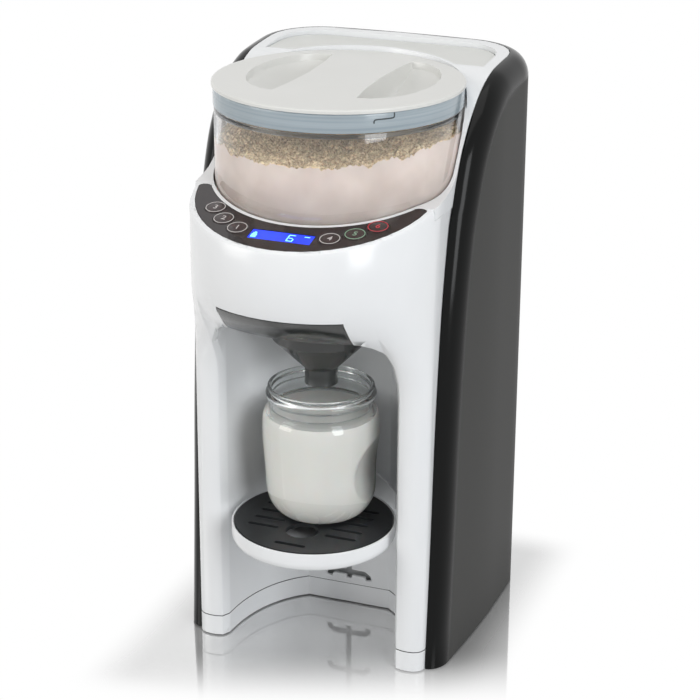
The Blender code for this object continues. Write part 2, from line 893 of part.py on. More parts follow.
def button_place(side, number):
    angle = button_first_angle + number * button_angle_step
    x = side * button_ring_radius * math.sin(angle)
    return on_panel([(x, button_ring_y - button_ring_radius * math.cos(angle))])[0]


button_places = {
    f"button_{word}_{number + 1}": button_place(side, number)
    for word, side in (("left", -1), ("right", 1))
    for number in range(3)
}
stem_radius = 0.0025
stem_clearance = 0.0005
plate_depth = head_plate + overrun
display_low_y = on_panel([(0, display_front_y)])[0][1]
display_high_y = on_panel([(0, display_front_y + display_depth)])[0][1]


def display_block(grow, low, high):
    return block(
        (-display_half_width - grow, display_low_y - grow, low),
        (display_half_width + grow, display_high_y + grow, high),
    )


cut(front_housing, panel_tool(prism(fascia_outline(gap), -fascia_thickness - gap, overrun)))
cut(front_housing, panel_tool(display_block(gap, -plate_depth, overrun)))
panel_fascia = make_object(
    "panel_fascia", *prism(fascia_outline(0), -fascia_thickness, 0), panel_black, parent=panel
)
cut(panel_fascia, panel_tool(display_block(gap, -plate_depth, overrun)))
for x, y in button_places.values():
    cut(front_housing, panel_tool(disc(stem_radius + stem_clearance, -plate_depth, overrun, x, y, 12)))
    cut(
        panel_fascia,
        panel_tool(disc(button_radius + button_clearance, -plate_depth, overrun, x, y, 20)),
    )

# Display, board and buttons
board_thickness = 0.0016
board_top = -0.0090
switch_half = 0.003
switch_height = 0.0014
display_top = -0.0003
make_object(
    "lcd_display", *display_block(0, board_top + gap, display_top), display_blue, parent=panel
)
board_half_band = 0.007
board_inner_radius = button_ring_radius - board_half_band
board_outer_radius = button_ring_radius + board_half_band
board_angles = np.linspace(-half_turn / 3.1, half_turn / 3.1, 21)
board_outline = [
    (board_outer_radius * math.sin(a), button_ring_y - board_outer_radius * math.cos(a)) for a in board_angles
]
board_outline += [
    (board_inner_radius * math.sin(a), button_ring_y - board_inner_radius * math.cos(a))
    for a in board_angles[::-1]
]
control_board = make_object(
    "control_board",
    *prism(on_panel(board_outline), board_top - board_thickness, board_top),
    board_green,
    parent=panel,
)
post_radius = 0.002
post_angle = button_first_angle - button_angle_step / 2.6
plate_underside = -head_plate * math.cos(panel_tilt)
for side in (-1, 1):
    x = side * button_ring_radius * math.sin(post_angle)
    place = on_panel([(x, button_ring_y - button_ring_radius * math.cos(post_angle))])[0]
    post = disc(post_radius, board_top - board_thickness / 2, plate_underside - gap, *place, 8)
    join(control_board, panel_tool(post))
cap_bottom = -fascia_thickness - gap + button_travel + gap
for name, (x, y) in button_places.items():
    join(
        control_board,
        panel_tool(
            block(
                (x - switch_half, y - switch_half, board_top - board_thickness / 2),
                (x + switch_half, y + switch_half, board_top + switch_height),
            )
        ),
    )
    stem_end = board_top + switch_height + button_travel + gap
    profile = [
        (0, button_proud),
        (button_radius - button_proud, button_proud),
        (button_radius, button_proud / 3),
        (button_radius, cap_bottom),
        (stem_radius, cap_bottom),
        (stem_radius, stem_end),
        (0, stem_end),
    ]
    make_object(name, *turned(profile, x, y, 20), button_dark, pivot=(x, y, 0), parent=panel)

# Rear deck with its two arms
deck_ys = list(deck_line[:, 0]) + [body_rear_y + overrun]
deck_xs = [body_half_width * share for share in (-1.1, -1, -0.6, 0, 0.6, 1, 1.1)]


def deck_block(drop, low):
    """Everything under the deck's surface, lowered by a drop."""
    top = [[(x, y, deck_z(y) + crown_z(x, y) - drop) for y in deck_ys] for x in deck_xs]
    bottom = [[(x, y, low) for x, y, z in column] for column in top]
    return between(top, bottom)


def deck_outline(inset):
    """The body's plan behind the head's front."""
    radius = body_half_width - inset
    points = []
    for y in np.linspace(deck_front_y + inset, head_centre_y, 4):
        points.append((math.sqrt(radius**2 - (head_centre_y - y) ** 2), float(y)))
    for share in side_shares[2:]:
        y = seam_front_y + side_run * share
        if y > head_centre_y + wall:
            points.append((half_width_at(y) - inset, y))
    corner = body_corner_radius - inset
    for turn in np.linspace(0, half_turn / 2, corner_steps + 1):
        points.append(
            (
                rear_half_width - body_corner_radius + corner * math.cos(turn),
                body_rear_y - body_corner_radius + corner * math.sin(turn),
            )
        )
    return points + [(-x, y) for x, y in points[::-1]]


def tank_outline(grow, front_grow):
    """The tank's plan: hollow in front round the container, with rounded rear corners."""
    front_radius = tank_front_radius - front_grow
    front_y = tank_front_y - grow
    reach = math.acos((front_y - lid_axis_y) / front_radius)
    points = []
    for angle in np.linspace(-reach, reach, 17):
        points.append((front_radius * math.sin(angle), lid_axis_y + front_radius * math.cos(angle)))
    side = tank_half_width + grow
    points.append((side, front_y))
    corner = tank_corner + grow
    for turn in np.linspace(0, half_turn / 2, 6):
        points.append(
            (side - corner + corner * math.cos(turn), tank_rear_y + grow - corner + corner * math.sin(turn))
        )
    rear = points[18:]
    return points + [(-x, y) for x, y in rear[::-1]] + [(-side, front_y)]


top_deck = make_object("top_deck", *deck_block(0, deck_skirt_z), white_gloss)
crop(top_deck, tool(prism(deck_outline(0), deck_skirt_z - overrun, deck_high_z + stand_off)))
deck_hollow = tool(deck_block(deck_plate, deck_skirt_z - overrun))
crop(deck_hollow, tool(prism(deck_outline(wall), deck_skirt_z - 2 * overrun, deck_high_z + stand_off)))
ring_radius = container_hole_radius + deck_ring_wall
ring_bottom_z = deck_skirt_z - 3 * overrun
cut(deck_hollow, tool(disc(ring_radius, ring_bottom_z, deck_high_z + stand_off, 0, lid_axis_y, 64)))
well_profile = [
    (0, deck_high_z + stand_off),
    (lid_well_radius, deck_high_z + stand_off),
    (lid_well_radius, lid_well_z),
    (container_hole_radius, lid_well_z),
    (container_hole_radius, ring_bottom_z),
    (0, ring_bottom_z),
]
tank_lid_bottom_z = tank_lid_top_z - tank_lid_thickness
tank_lid_front_grow = 0.001
lid_hole = prism(
    tank_outline(tank_lid_overlap + tank_play, tank_lid_front_grow + tank_play),
    tank_lid_bottom_z - tank_play,
    deck_high_z + stand_off,
)
tank_hole = prism(tank_outline(tank_play, tank_play), deck_skirt_z - overrun, deck_high_z + stand_off)
cut(top_deck, deck_hollow, tool(turned(well_profile, 0, lid_axis_y, 64)), tool(lid_hole), tool(tank_hole))

# Chassis: floor, upright and shelf
chassis_floor_z = tray_top_z + gap
chassis_floor_top_z = chassis_floor_z + chassis_plate
upright_back_y = chassis_front_y + chassis_plate
floor_low = (-chassis_half, chassis_front_y, chassis_floor_z)
chassis = make_object(
    "chassis", *block(floor_low, (chassis_half, chassis_rear_y, chassis_floor_top_z)), works_grey
)
join(
    chassis,
    tool(
        block(
            (-chassis_half, chassis_front_y, chassis_floor_z),
            (chassis_half, upright_back_y, (shelf_bottom_z + shelf_top_z) / 2),
        )
    ),
    tool(disc(cradle_radius, shelf_bottom_z, shelf_top_z, 0, lid_axis_y, 48)),
)
motor_y = lid_axis_y + gear_module * (wheel_teeth + pinion_teeth) / 2 + mesh_play
motor_radius = 0.014
spout_offset = 0.0214
spout_y = funnel_y + spout_offset
spout_radius = 0.0035
riser_clearance = 0.016
riser_setback = 0.0165
riser_x = -motor_radius - riser_clearance
riser_y = upright_back_y + riser_setback
shelf_holes = [
    (chute_radius + gap, 0, funnel_y),
    (spout_radius + gap, 0, spout_y),
    (tube_radius + 4 * gap, riser_x, riser_y),
    (shaft_radius + 2 * gap, 0, motor_y),
]
for radius, x, y in shelf_holes:
    cut(chassis, tool(disc(radius, shelf_bottom_z - overrun, shelf_top_z + overrun, x, y, 16)))
for number, (x, y) in enumerate(screw_places, 1):
    hole = disc(screw_hole_radius, chassis_floor_z - overrun, chassis_floor_top_z + overrun, x, y, 8)
    cut(chassis, tool(hole))
    head_top = tray_bottom_z - gap
    profile = [
        (0, chassis_floor_top_z + screw_radius),
        (screw_radius, chassis_floor_top_z),
        (screw_radius, head_top),
        (screw_head_radius, head_top),
        (screw_head_radius, head_top - screw_head),
        (0, head_top - screw_head),
    ]
    make_object(f"base_screw_{number}", *turned(profile, x, y, 8), screw_steel)

# Cradle and powder chute
cradle_bottom_z = shelf_top_z + gap
cradle_inside = cradle_radius - cradle_wall
cradle_floor_top_z = cradle_floor_z + cradle_floor
cradle_profile = [
    (0, cradle_floor_top_z),
    (cradle_inside, cradle_floor_top_z),
    (cradle_inside, cradle_top_z),
    (cradle_radius, cradle_top_z),
    (cradle_radius, cradle_bottom_z),
    (cradle_inside, cradle_bottom_z),
    (cradle_inside, cradle_floor_z),
    (0, cradle_floor_z),
]
container_cradle = make_object("container_cradle", *turned(cradle_profile, 0, lid_axis_y, 48), white_satin)
chute_bore = chute_radius - chute_wall
for radius, y in ((chute_bore, funnel_y), (shaft_radius + 2 * gap, motor_y)):
    cut(
        container_cradle,
        tool(disc(radius, cradle_floor_z - overrun, cradle_floor_top_z + overrun, 0, y, 16)),
    )
chute_bottom_z = shelf_bottom_z + gap
chute_flange = 0.002
chute_flange_radius = 0.016
chute_profile = [
    (chute_radius, cradle_floor_z - gap),
    (chute_radius, shelf_top_z + gap + chute_flange),
    (chute_flange_radius, shelf_top_z + gap + chute_flange),
    (chute_flange_radius, shelf_top_z + gap),
    (chute_radius, shelf_top_z + gap),
    (chute_radius, chute_bottom_z),
    (chute_bore, chute_bottom_z),
    (chute_bore, cradle_floor_z - gap),
]
make_object("powder_chute", *turned(chute_profile, 0, funnel_y, 20), white_satin)

# Dosing drive: toothed wheel in the container's base, and the motor's pinion behind it
tooth_addendum = 0.8 * gear_module
tooth_dedendum = 1.0 * gear_module
tip_tooth_share = 0.22
root_tooth_share = 0.62


def gear_outline(teeth, x, y, start):
    """Straight-flanked teeth round a pitch circle; start is the angle of one tooth's middle from +Y."""
    pitch_radius = gear_module * teeth / 2
    points = []
    for tooth in range(teeth):
        middle = start + full_turn * tooth / teeth
        for radius, share in (
            (pitch_radius - tooth_dedendum, -root_tooth_share),
            (pitch_radius + tooth_addendum, -tip_tooth_share),
            (pitch_radius + tooth_addendum, tip_tooth_share),
            (pitch_radius - tooth_dedendum, root_tooth_share),
        ):
            angle = middle + share * half_turn / teeth
            points.append((x + radius * math.sin(angle), y + radius * math.cos(angle)))
    return points


base_bottom_z = cradle_floor_top_z + gap
base_floor = 0.0025
wheel_bottom_z = base_bottom_z + base_floor + gap
wheel_top_z = wheel_bottom_z + wheel_height
floor_bottom_z = wheel_top_z + gap
floor_thickness = 0.003
floor_top_z = floor_bottom_z + floor_thickness
wheel_tip_radius = gear_module * wheel_teeth / 2 + tooth_addendum
pinion_tip_radius = gear_module * pinion_teeth / 2 + tooth_addendum
pinion_reach = motor_y - lid_axis_y + pinion_tip_radius
hub_radius = 0.0079
hub_clearance = 0.0005
pocket_count = 8

metering_wheel = make_object(
    "metering_wheel",
    *prism(gear_outline(wheel_teeth, 0, lid_axis_y, 0), wheel_bottom_z, wheel_top_z),
    gear_white,
    pivot=(0, lid_axis_y, wheel_bottom_z),
)
hub_top_z = floor_top_z + gap
join(metering_wheel, tool(disc(hub_radius, (wheel_bottom_z + wheel_top_z) / 2, hub_top_z, 0, lid_axis_y, 20)))
for pocket in range(pocket_count):
    angle = full_turn * pocket / pocket_count
    x, y = dose_offset * math.sin(angle), lid_axis_y - dose_offset * math.cos(angle)
    cut(
        metering_wheel,
        tool(disc(dose_hole_radius, wheel_bottom_z - overrun, wheel_top_z + overrun, x, y, 12)),
    )
stirrer_bottom_z = hub_top_z + gap
stirrer_height = 0.008
stirrer_hub_radius = 0.009
stirrer_play = 0.0045
waist_inside = container_waist_radius - container_wall
stirrer_reach = waist_inside - stirrer_play
stirrer_arm = 0.004
stirrer = make_object(
    "stirrer",
    *disc(stirrer_hub_radius, stirrer_bottom_z, stirrer_bottom_z + stirrer_height, 0, lid_axis_y, 20),
    gear_white,
    pivot=(0, lid_axis_y, stirrer_bottom_z),
)
for arm in range(3):
    angle = full_turn * arm / 3
    along = np.array([math.sin(angle), math.cos(angle)])
    across = np.array([along[1], -along[0]]) * stirrer_arm / 2
    centre = np.array([0, lid_axis_y])
    corners = [
        centre - across,
        centre + across,
        centre + across / 2 + along * stirrer_reach,
        centre - across / 2 + along * stirrer_reach,
    ]
    arm_top_z = stirrer_bottom_z + stirrer_height / 1.6
    arm_shape = prism([tuple(corner) for corner in corners], stirrer_bottom_z + gap, arm_top_z)
    join(stirrer, tool(arm_shape))

pinion_start = half_turn + half_turn / pinion_teeth
motor_pinion = make_object(
    "motor_pinion",
    *prism(gear_outline(pinion_teeth, 0, motor_y, pinion_start), wheel_bottom_z + gap, wheel_top_z - gap),
    gear_white,
    pivot=(0, motor_y, wheel_bottom_z),
)
motor_top_z = shelf_bottom_z - gap
join(motor_pinion, tool(disc(shaft_radius, motor_top_z + gap, wheel_bottom_z + overrun, 0, motor_y, 16)))

motor_length = 0.038
motor_profile = [
    (0, motor_top_z),
    (motor_radius - gear_module, motor_top_z),
    (motor_radius, motor_top_z - gear_module),
    (motor_radius, motor_top_z - motor_length),
    (0, motor_top_z - motor_length),
]
make_object("drive_motor", *turned(motor_profile, 0, motor_y, 24), motor_steel)

# Powder container with its floor and base
base_radius = wheel_tip_radius + 2 * gap
base_profile = [
    (0, base_bottom_z + base_floor),
    (base_radius, base_bottom_z + base_floor),
    (base_radius, floor_bottom_z - gap),
    (base_radius + container_wall, floor_bottom_z - gap),
    (base_radius + container_wall, base_bottom_z),
    (0, base_bottom_z),
]
container_base = make_object("container_base", *turned(base_profile, 0, lid_axis_y, 48), white_satin)
notch_front_y = motor_y - pinion_tip_radius - 2 * gap
notch_half = pinion_tip_radius + wall
cut(
    container_base,
    tool(
        block(
            (-notch_half, notch_front_y, base_bottom_z - overrun),
            (notch_half, notch_front_y + base_radius, floor_bottom_z + overrun),
        )
    ),
    tool(disc(dose_hole_radius, base_bottom_z - overrun, wheel_bottom_z, 0, funnel_y, 12)),
)

container_floor = make_object(
    "container_floor",
    *disc(waist_inside - gap, floor_bottom_z, floor_top_z, 0, lid_axis_y, 64),
    white_satin,
)
for radius, y, sides in (
    (hub_radius + hub_clearance, lid_axis_y, 20),
    (dose_hole_radius, lid_axis_y + dose_offset, 12),
):
    hole = disc(radius, floor_bottom_z - overrun, floor_top_z + overrun, 0, y, sides)
    cut(container_floor, tool(hole))
lip_inside = pinion_reach + 2 * gap
container_inside = container_radius - container_wall
container_bottom_z = floor_bottom_z - gap - container_lip
neck_radius = collar_radius - collar_wall - gap
neck_inside = neck_radius - container_wall
container_profile = [
    (lip_inside, floor_bottom_z - gap),
    (lip_inside, container_bottom_z),
    (container_waist_radius, container_bottom_z),
    (container_waist_radius, container_waist_z),
    (container_radius, container_waist_z + container_step),
    (container_radius, collar_bottom_z - gap),
    (neck_radius, collar_bottom_z - gap),
    (neck_radius, container_neck_top_z),
    (neck_inside, container_neck_top_z),
    (neck_inside, collar_bottom_z - container_step),
    (container_inside, collar_bottom_z - container_step - container_wall),
    (container_inside, container_waist_z + container_step + container_wall / 2),
    (waist_inside, container_waist_z + container_wall / 2),
    (waist_inside, floor_bottom_z - gap),
]
make_object("container_body", *turned(container_profile, 0, lid_axis_y, 56), clear_plastic)

# Powder: a loose fill over the stirrer, which rests on the container's step and heaps to one side
powder_bottom_z = stirrer_bottom_z + stirrer_height + gap
powder_radius = container_inside - gap
powder_waist = waist_inside - gap
powder_headroom = 0.0215
powder_rise = 0.0084
powder_level_z = collar_bottom_z - powder_headroom


def powder_z(x, y):
    """Height of the powder: level in front and at the left, and heaped at the right and the rear."""
    lean = (0.85 * x + 0.5 * (y - lid_axis_y)) / powder_radius
    return powder_level_z + powder_rise * min(max((lean + 0.1) / 0.75, 0), 1)


powder_rings = []
powder_step_z = container_waist_z + container_wall / 2 + gap
for radius, z in (
    (powder_waist, powder_bottom_z),
    (powder_waist, powder_step_z),
    (powder_radius, powder_step_z + container_step),
):
    powder_rings.append([(x, y, z) for x, y in circle(radius, 0, lid_axis_y, 36)])
for share in (1, 0.85, 0.6, 0.3):
    ring = circle(powder_radius * share, 0, lid_axis_y, 36)
    powder_rings.append([(x, y, powder_z(x, y)) for x, y in ring])
make_object("powder_fill", *loft(powder_rings), powder_tan)

# Collar, seal and lid
collar_profile = [
    (collar_radius, collar_bottom_z),
    (collar_radius, collar_top_z),
    (collar_radius - collar_wall, collar_top_z),
    (collar_radius - collar_wall, collar_bottom_z),
]
lid_axis = (0, lid_axis_y, collar_bottom_z)
make_object("lid_collar", *turned(collar_profile, 0, lid_axis_y, 56), collar_grey, pivot=lid_axis)
gasket_profile = [
    (neck_radius - gap, container_neck_top_z + gap),
    (neck_radius - gap, collar_top_z),
    (neck_inside + gap, collar_top_z),
    (neck_inside + gap, container_neck_top_z + gap),
]
make_object("lid_gasket", *turned(gasket_profile, 0, lid_axis_y, 48), silicone, pivot=lid_axis)
plug_radius = neck_inside - gap
plug_bottom_z = container_neck_top_z - 2 * container_wall
lid_profile = [
    (0, lid_top_z),
    (lid_radius - lid_plate / 3, lid_top_z),
    (lid_radius, lid_top_z - lid_plate / 3),
    (lid_radius, lid_lower_edge_z),
    (plug_radius, lid_lower_edge_z),
    (plug_radius, plug_bottom_z),
    (plug_radius - container_wall, plug_bottom_z),
    (plug_radius - container_wall, lid_top_z - lid_plate),
    (0, lid_top_z - lid_plate),
]
container_lid = make_object(
    "container_lid", *turned(lid_profile, 0, lid_axis_y, 56), white_gloss, pivot=lid_axis
)
recess_inner_share = 0.3466
recess_inner_x = lid_radius * recess_inner_share
recess_width_share = 0.4185
recess_width = lid_radius * recess_width_share
recess_length_share = 0.6508
recess_half_length = lid_radius * recess_length_share
recess_offset_share = 0.1155
recess_offset_y = lid_radius * recess_offset_share
recess_depth = 0.0135
recess_bulge = 0.004


def recess_block(side, grow, top):
    """A finger recess: a half-moon in plan with an upright inner wall and a floor that rises outwards."""
    rings = []
    depth = recess_depth + grow
    inner_x = recess_inner_x - grow
    for share in (0, 0.3, 0.55, 0.77, 0.92, 0.99):
        size = math.sqrt(1 - share**2)
        width, half_length = size * recess_width + grow, size * recess_half_length + grow
        ring = []
        for step in range(13):
            angle = half_turn * (step / 12 - 0.5)
            ring.append(
                (inner_x + width * math.cos(angle), recess_offset_y + half_length * math.sin(angle))
            )
        for across in (0.6, 0, -0.6):
            ring.append(
                (
                    inner_x - size * recess_bulge * (1 - across**2),
                    recess_offset_y + half_length * across,
                )
            )
        z = lid_top_z - share * depth if share else top
        rings.append([(side * x, lid_axis_y + y, z) for x, y in ring])
    return loft(rings)


for side in (-1, 1):
    join(container_lid, tool(recess_block(side, container_wall, lid_top_z - lid_plate / 2)))
for side in (-1, 1):
    cut(container_lid, tool(recess_block(side, 0, lid_top_z + overrun)))

# Mixing funnel and its chin cover
flange_z = bay_ceiling_z + wall + gap
flange_top_z = flange_z + funnel_flange
funnel_inside = funnel_radius - funnel_wall
funnel_profile = [
    (funnel_tube_radius, funnel_outlet_z),
    (funnel_tube_radius, funnel_tube_top_z),
    (funnel_radius, funnel_cone_top_z),
    (funnel_radius, flange_top_z - gap),
    (funnel_inside, flange_top_z - gap),
    (funnel_inside, funnel_cone_top_z),
    (funnel_tube_radius - funnel_wall, funnel_tube_top_z),
    (funnel_tube_radius - funnel_wall, funnel_outlet_z),
]
funnel_place = (0, funnel_y, flange_z)
funnel = make_object("funnel", *turned(funnel_profile, 0, funnel_y, 40), smoke_grey, pivot=funnel_place)
flange_front_share = 1.68
flange_front_y = funnel_y - funnel_radius * flange_front_share
flange_back_y = funnel_y + funnel_radius + funnel_wall
flange_middle_y = (flange_front_y + flange_back_y) / 2
flange = tool(
    prism(
        rounded_box(
            funnel_flange_half, (flange_back_y - flange_front_y) / 2, funnel_wall * 3, 0, flange_middle_y
        ),
        flange_z,
        flange_top_z,
    )
)
flange_hole_radius = funnel_radius - funnel_wall / 2
cut(flange, tool(disc(flange_hole_radius, flange_z - overrun, flange_top_z + overrun, 0, funnel_y, 40)))
join(funnel, flange)

cover_bottom_z = bay_ceiling_z + gap
cover_rear_y = funnel_y - funnel_radius - stand_off_front - gap
cover_levels = [
    (cover_bottom_z + (cover_top_z - cover_bottom_z) * step / 4, 0, 0) for step in range(5)
]
cover_levels[0] = (cover_bottom_z - overrun, 0, 0)
cover_levels[-1] = (cover_top_z + overrun, 0, 0)
funnel_cover = make_object(
    "funnel_cover", *front_block(cover_levels, 0, housing_rear_y), smoke_grey, pivot=funnel_place
)
crop(
    funnel_cover,
    tool(
        block((-cover_half_width, far_front, cover_bottom_z), (cover_half_width, cover_rear_y, cover_top_z))
    ),
)
inner_levels = [(bay_ceiling_z + wall, 0, 0)] + cover_levels[1:-1] + [(cover_top_z + 2 * overrun, 0, 0)]
cut(funnel_cover, tool(front_block(inner_levels, wall, housing_rear_y)))

# Bottle stand: dish, hooked bracket and grate
dish_shoulder = 0.006
dish_rim_z = grate_top_z - gap
dish_inside = grate_radius + 2 * gap
grate_ledge = 0.0015
grate_bottom_z = grate_top_z - grate_thickness
dish_profile = [
    (0, dish_bottom_z + dish_wall),
    (dish_inside - grate_ledge - dish_shoulder, dish_bottom_z + dish_wall),
    (dish_inside - grate_ledge, dish_bottom_z + dish_wall + dish_shoulder / 1.5),
    (dish_inside - grate_ledge, grate_bottom_z - gap),
    (dish_inside, grate_bottom_z - gap),
    (dish_inside, dish_rim_z),
    (dish_radius, dish_rim_z),
    (dish_radius, dish_bottom_z + dish_shoulder),
    (dish_radius - dish_shoulder / 4, dish_bottom_z + dish_shoulder / 2),
    (dish_radius - dish_shoulder, dish_bottom_z + dish_shoulder / 8),
    (dish_radius - 2 * dish_shoulder, dish_bottom_z),
    (0, dish_bottom_z),
]
stand_place = (0, dish_y, dish_bottom_z)
make_object("stand_dish", *turned(dish_profile, 0, dish_y, 56), white_gloss, pivot=stand_place)

drip_grate = make_object(
    "drip_grate",
    *disc(grate_radius, grate_bottom_z, grate_top_z, 0, dish_y, 56),
    grate_black,
    pivot=stand_place,
)
grate_slot_share = 0.2075
grate_slot_half = grate_radius * grate_slot_share
grate_slot_width = 0.003
grate_column_share = 0.5178
grate_slot_x = grate_radius * grate_column_share
grate_slot_rows = (-0.417, -0.2036, 0.0099, 0.2194, 0.419)
grate_front_row = -0.8043
grate_hole_share = 0.2075
grate_hole_radius = grate_radius * grate_hole_share
grate_hole_offset_share = 0.3933
grate_hole_y = dish_y - grate_radius * grate_hole_offset_share
slot_centres = [(side * grate_slot_x, row) for row in grate_slot_rows for side in (-1, 1)]
slot_centres.append((0, grate_front_row))
slot_round = grate_slot_width / 2.01
for x, row in slot_centres:
    y = dish_y + grate_radius * row
    outline = rounded_box(grate_slot_half, grate_slot_width / 2, slot_round, x, y, 2)
    cut(drip_grate, tool(prism(outline, grate_bottom_z - overrun, grate_top_z + overrun)))
hole = disc(grate_hole_radius, grate_bottom_z - overrun, grate_top_z + overrun, 0, grate_hole_y, 20)
cut(drip_grate, tool(hole))

bracket_front_y = dish_y + dish_radius + gap
bracket_plate = 0.0025
bracket_share = 0.6933
bracket_half = dish_radius * bracket_share
bracket_rise = 0.019
bracket_power = 0.7
bracket_low_z = dish_bottom_z + dish_shoulder / 2
bracket_back_y = bay_back_y - gap
link_half = 0.018
lug_head_half = 0.005
lug_head = 0.002
bracket_outline = [(bracket_half, bracket_low_z), (-bracket_half, bracket_low_z)]
for step in range(13):
    across = step / 6 - 1
    rise = bracket_rise * max(math.cos(half_turn / 2 * across), 0) ** bracket_power
    bracket_outline.append((bracket_half * across, grate_top_z + rise))
stand_bracket = make_object(
    "stand_bracket",
    *upright(bracket_outline, bracket_front_y, bracket_front_y + bracket_plate),
    white_gloss,
    pivot=stand_place,
)
join(
    stand_bracket,
    tool(
        block(
            (-link_half, bracket_front_y + bracket_plate / 2, bracket_low_z + overrun),
            (link_half, bracket_back_y, grate_top_z + bracket_rise * bracket_power),
        )
    ),
    tool(
        block(
            (-lug_half, bracket_back_y - overrun, lug_low_z),
            (lug_half, bay_back_y + wall + gap + lug_head / 2, lug_high_z),
        )
    ),
    tool(
        block(
            (-lug_head_half, bay_back_y + wall + gap, lug_low_z),
            (lug_head_half, bay_back_y + wall + gap + lug_head, lug_high_z),
        )
    ),
)

# Glass bottle, drawn from outside bottom to rim and back down inside
bottle_foot_z = grate_top_z + gap
bottle_outer_shares = (
    (0.50, 0.0),
    (0.70, 0.025),
    (0.84, 0.085),
    (0.92, 0.17),
    (0.955, 0.30),
    (0.985, 0.50),
    (1.0, 0.66),
    (0.99, 0.76),
    (0.955, 0.805),
)
bottle_curve = [
    (bottle_body_radius * across, bottle_foot_z + bottle_height * up) for across, up in bottle_outer_shares
]
neck_low_z = bottle_foot_z + bottle_height * 0.835
bead_half = 0.003
bead_z = bottle_foot_z + bottle_height * 0.935
rim_z = bottle_foot_z + bottle_height
bottle_profile = [(0, bottle_foot_z)] + bottle_curve
bottle_profile += [
    (bottle_neck_radius, neck_low_z),
    (bottle_neck_radius, bead_z - bead_half),
    (bottle_bead_radius, bead_z - bead_half / 2),
    (bottle_bead_radius, bead_z + bead_half / 2),
    (bottle_neck_radius, bead_z + bead_half),
    (bottle_rim_radius, rim_z - gap),
    (bottle_rim_radius - glass_wall / 2, rim_z),
    (bottle_rim_radius - glass_wall, rim_z - gap),
    (bottle_neck_radius - glass_wall, neck_low_z),
]
bottle_profile += [(r - glass_wall, max(z, bottle_foot_z + glass_wall)) for r, z in bottle_curve[::-1]]
bottle_profile += [(0, bottle_foot_z + glass_wall)]
make_object(
    "bottle_glass",
    *turned(bottle_profile, 0, funnel_y, 40),
    clear_glass,
    pivot=(0, funnel_y, bottle_foot_z),
)

# Water tank with its lid, valve and seat
tank_top_z = tank_lid_bottom_z - gap
tank_place = (0, tank_rear_y, tank_bottom_z)
water_tank = make_object(
    "water_tank", *prism(tank_outline(0, 0), tank_bottom_z, tank_top_z), clear_plastic, pivot=tank_place
)
valve_margin = 0.0135
valve_y = tank_rear_y - valve_margin
valve_radius = 0.0034
valve_hole_radius = valve_radius + 2 * gap
cut(
    water_tank,
    tool(prism(tank_outline(-tank_wall, -tank_wall), tank_bottom_z + tank_wall, tank_top_z + overrun)),
    tool(disc(valve_hole_radius, tank_bottom_z - overrun, tank_bottom_z + 2 * tank_wall, 0, valve_y, 16)),
)
make_object(
    "tank_lid",
    *prism(tank_outline(tank_lid_overlap, tank_lid_front_grow), tank_lid_bottom_z, tank_lid_top_z),
    pale_grey,
    pivot=(0, tank_rear_y + tank_lid_overlap, tank_lid_top_z + hinge_rise),
)
seat_drop = 0.0034
seat_top_z = tank_bottom_z - seat_drop
seat_thickness = 0.003
seat_inset = 0.003
seat_half = chassis_half - seat_inset
seat_depth = 0.0265
seat_front_y = tank_rear_y - seat_depth
seat_leg = 0.004
seat_leg_inset = 0.009
seat_leg_x = seat_half - seat_leg_inset
tank_seat = make_object(
    "tank_seat",
    *block((-seat_half, seat_front_y, seat_top_z - seat_thickness), (seat_half, tank_rear_y, seat_top_z)),
    works_grey,
)
leg_front_y = seat_front_y + seat_leg
for side in (-1, 1):
    x = side * seat_leg_x
    join(
        tank_seat,
        tool(
            block(
                (x - seat_leg / 2, leg_front_y, chassis_floor_top_z + gap),
                (x + seat_leg / 2, tank_rear_y - seat_leg, seat_top_z - seat_thickness / 2),
            )
        ),
        tool(
            block(
                (x - seat_leg, leg_front_y, seat_top_z - seat_thickness / 2),
                (x + seat_leg, tank_rear_y - seat_leg, tank_bottom_z - gap),
            )
        ),
    )
outlet_radius = 0.004
cut(tank_seat, tool(disc(outlet_radius, 0, tank_bottom_z, 0, valve_y, 16)))
seal_radius = 0.009
seal_profile = [
    (seal_radius, seat_top_z + gap),
    (seal_radius, tank_bottom_z - gap),
    (seal_radius - tube_radius, tank_bottom_z - gap),
    (seal_radius - tube_radius, seat_top_z + gap),
]
make_object("seat_seal", *turned(seal_profile, 0, valve_y, 20), seal_rubber)
valve_head_radius = 0.007
valve_head = 0.002
valve_seat_z = tank_bottom_z + tank_wall + gap
valve_profile = [
    (0, valve_seat_z + valve_head),
    (valve_head_radius, valve_seat_z + valve_head),
    (valve_head_radius, valve_seat_z),
    (valve_radius, valve_seat_z),
    (valve_radius, seat_top_z + 2 * gap),
    (0, seat_top_z + 2 * gap),
]
make_object("tank_valve", *turned(valve_profile, 0, valve_y, 16), white_satin)

# Pump, heater, spout and hoses
pump_margin = 0.020
pump_setback = 0.0185
pump_x = chassis_half - pump_margin
pump_y = upright_back_y + pump_setback
pump_radius = 0.013
pump_top_z = 0.050
nozzle_radius = 0.0032
nozzle_length = 0.006
mount_height = 0.003
mount_radius = pump_radius + wall
mount_bottom_z = chassis_floor_top_z + gap
mount_top_z = mount_bottom_z + mount_height
make_object("pump_mount", *disc(mount_radius, mount_bottom_z, mount_top_z, pump_x, pump_y, 20), seal_rubber)
pump_profile = [
    (0, pump_top_z + nozzle_length),
    (nozzle_radius, pump_top_z + nozzle_length),
    (nozzle_radius, pump_top_z),
    (pump_radius, pump_top_z),
    (pump_radius, mount_top_z + gap),
    (0, mount_top_z + gap),
]
make_object("water_pump", *turned(pump_profile, pump_x, pump_y, 20), works_grey)
heater_radius = 0.0145
heater_margin = 0.020
heater_x = heater_margin - chassis_half
heater_y = upright_back_y + gap + heater_radius
heater_low_z = 0.062
heater_high_z = 0.150
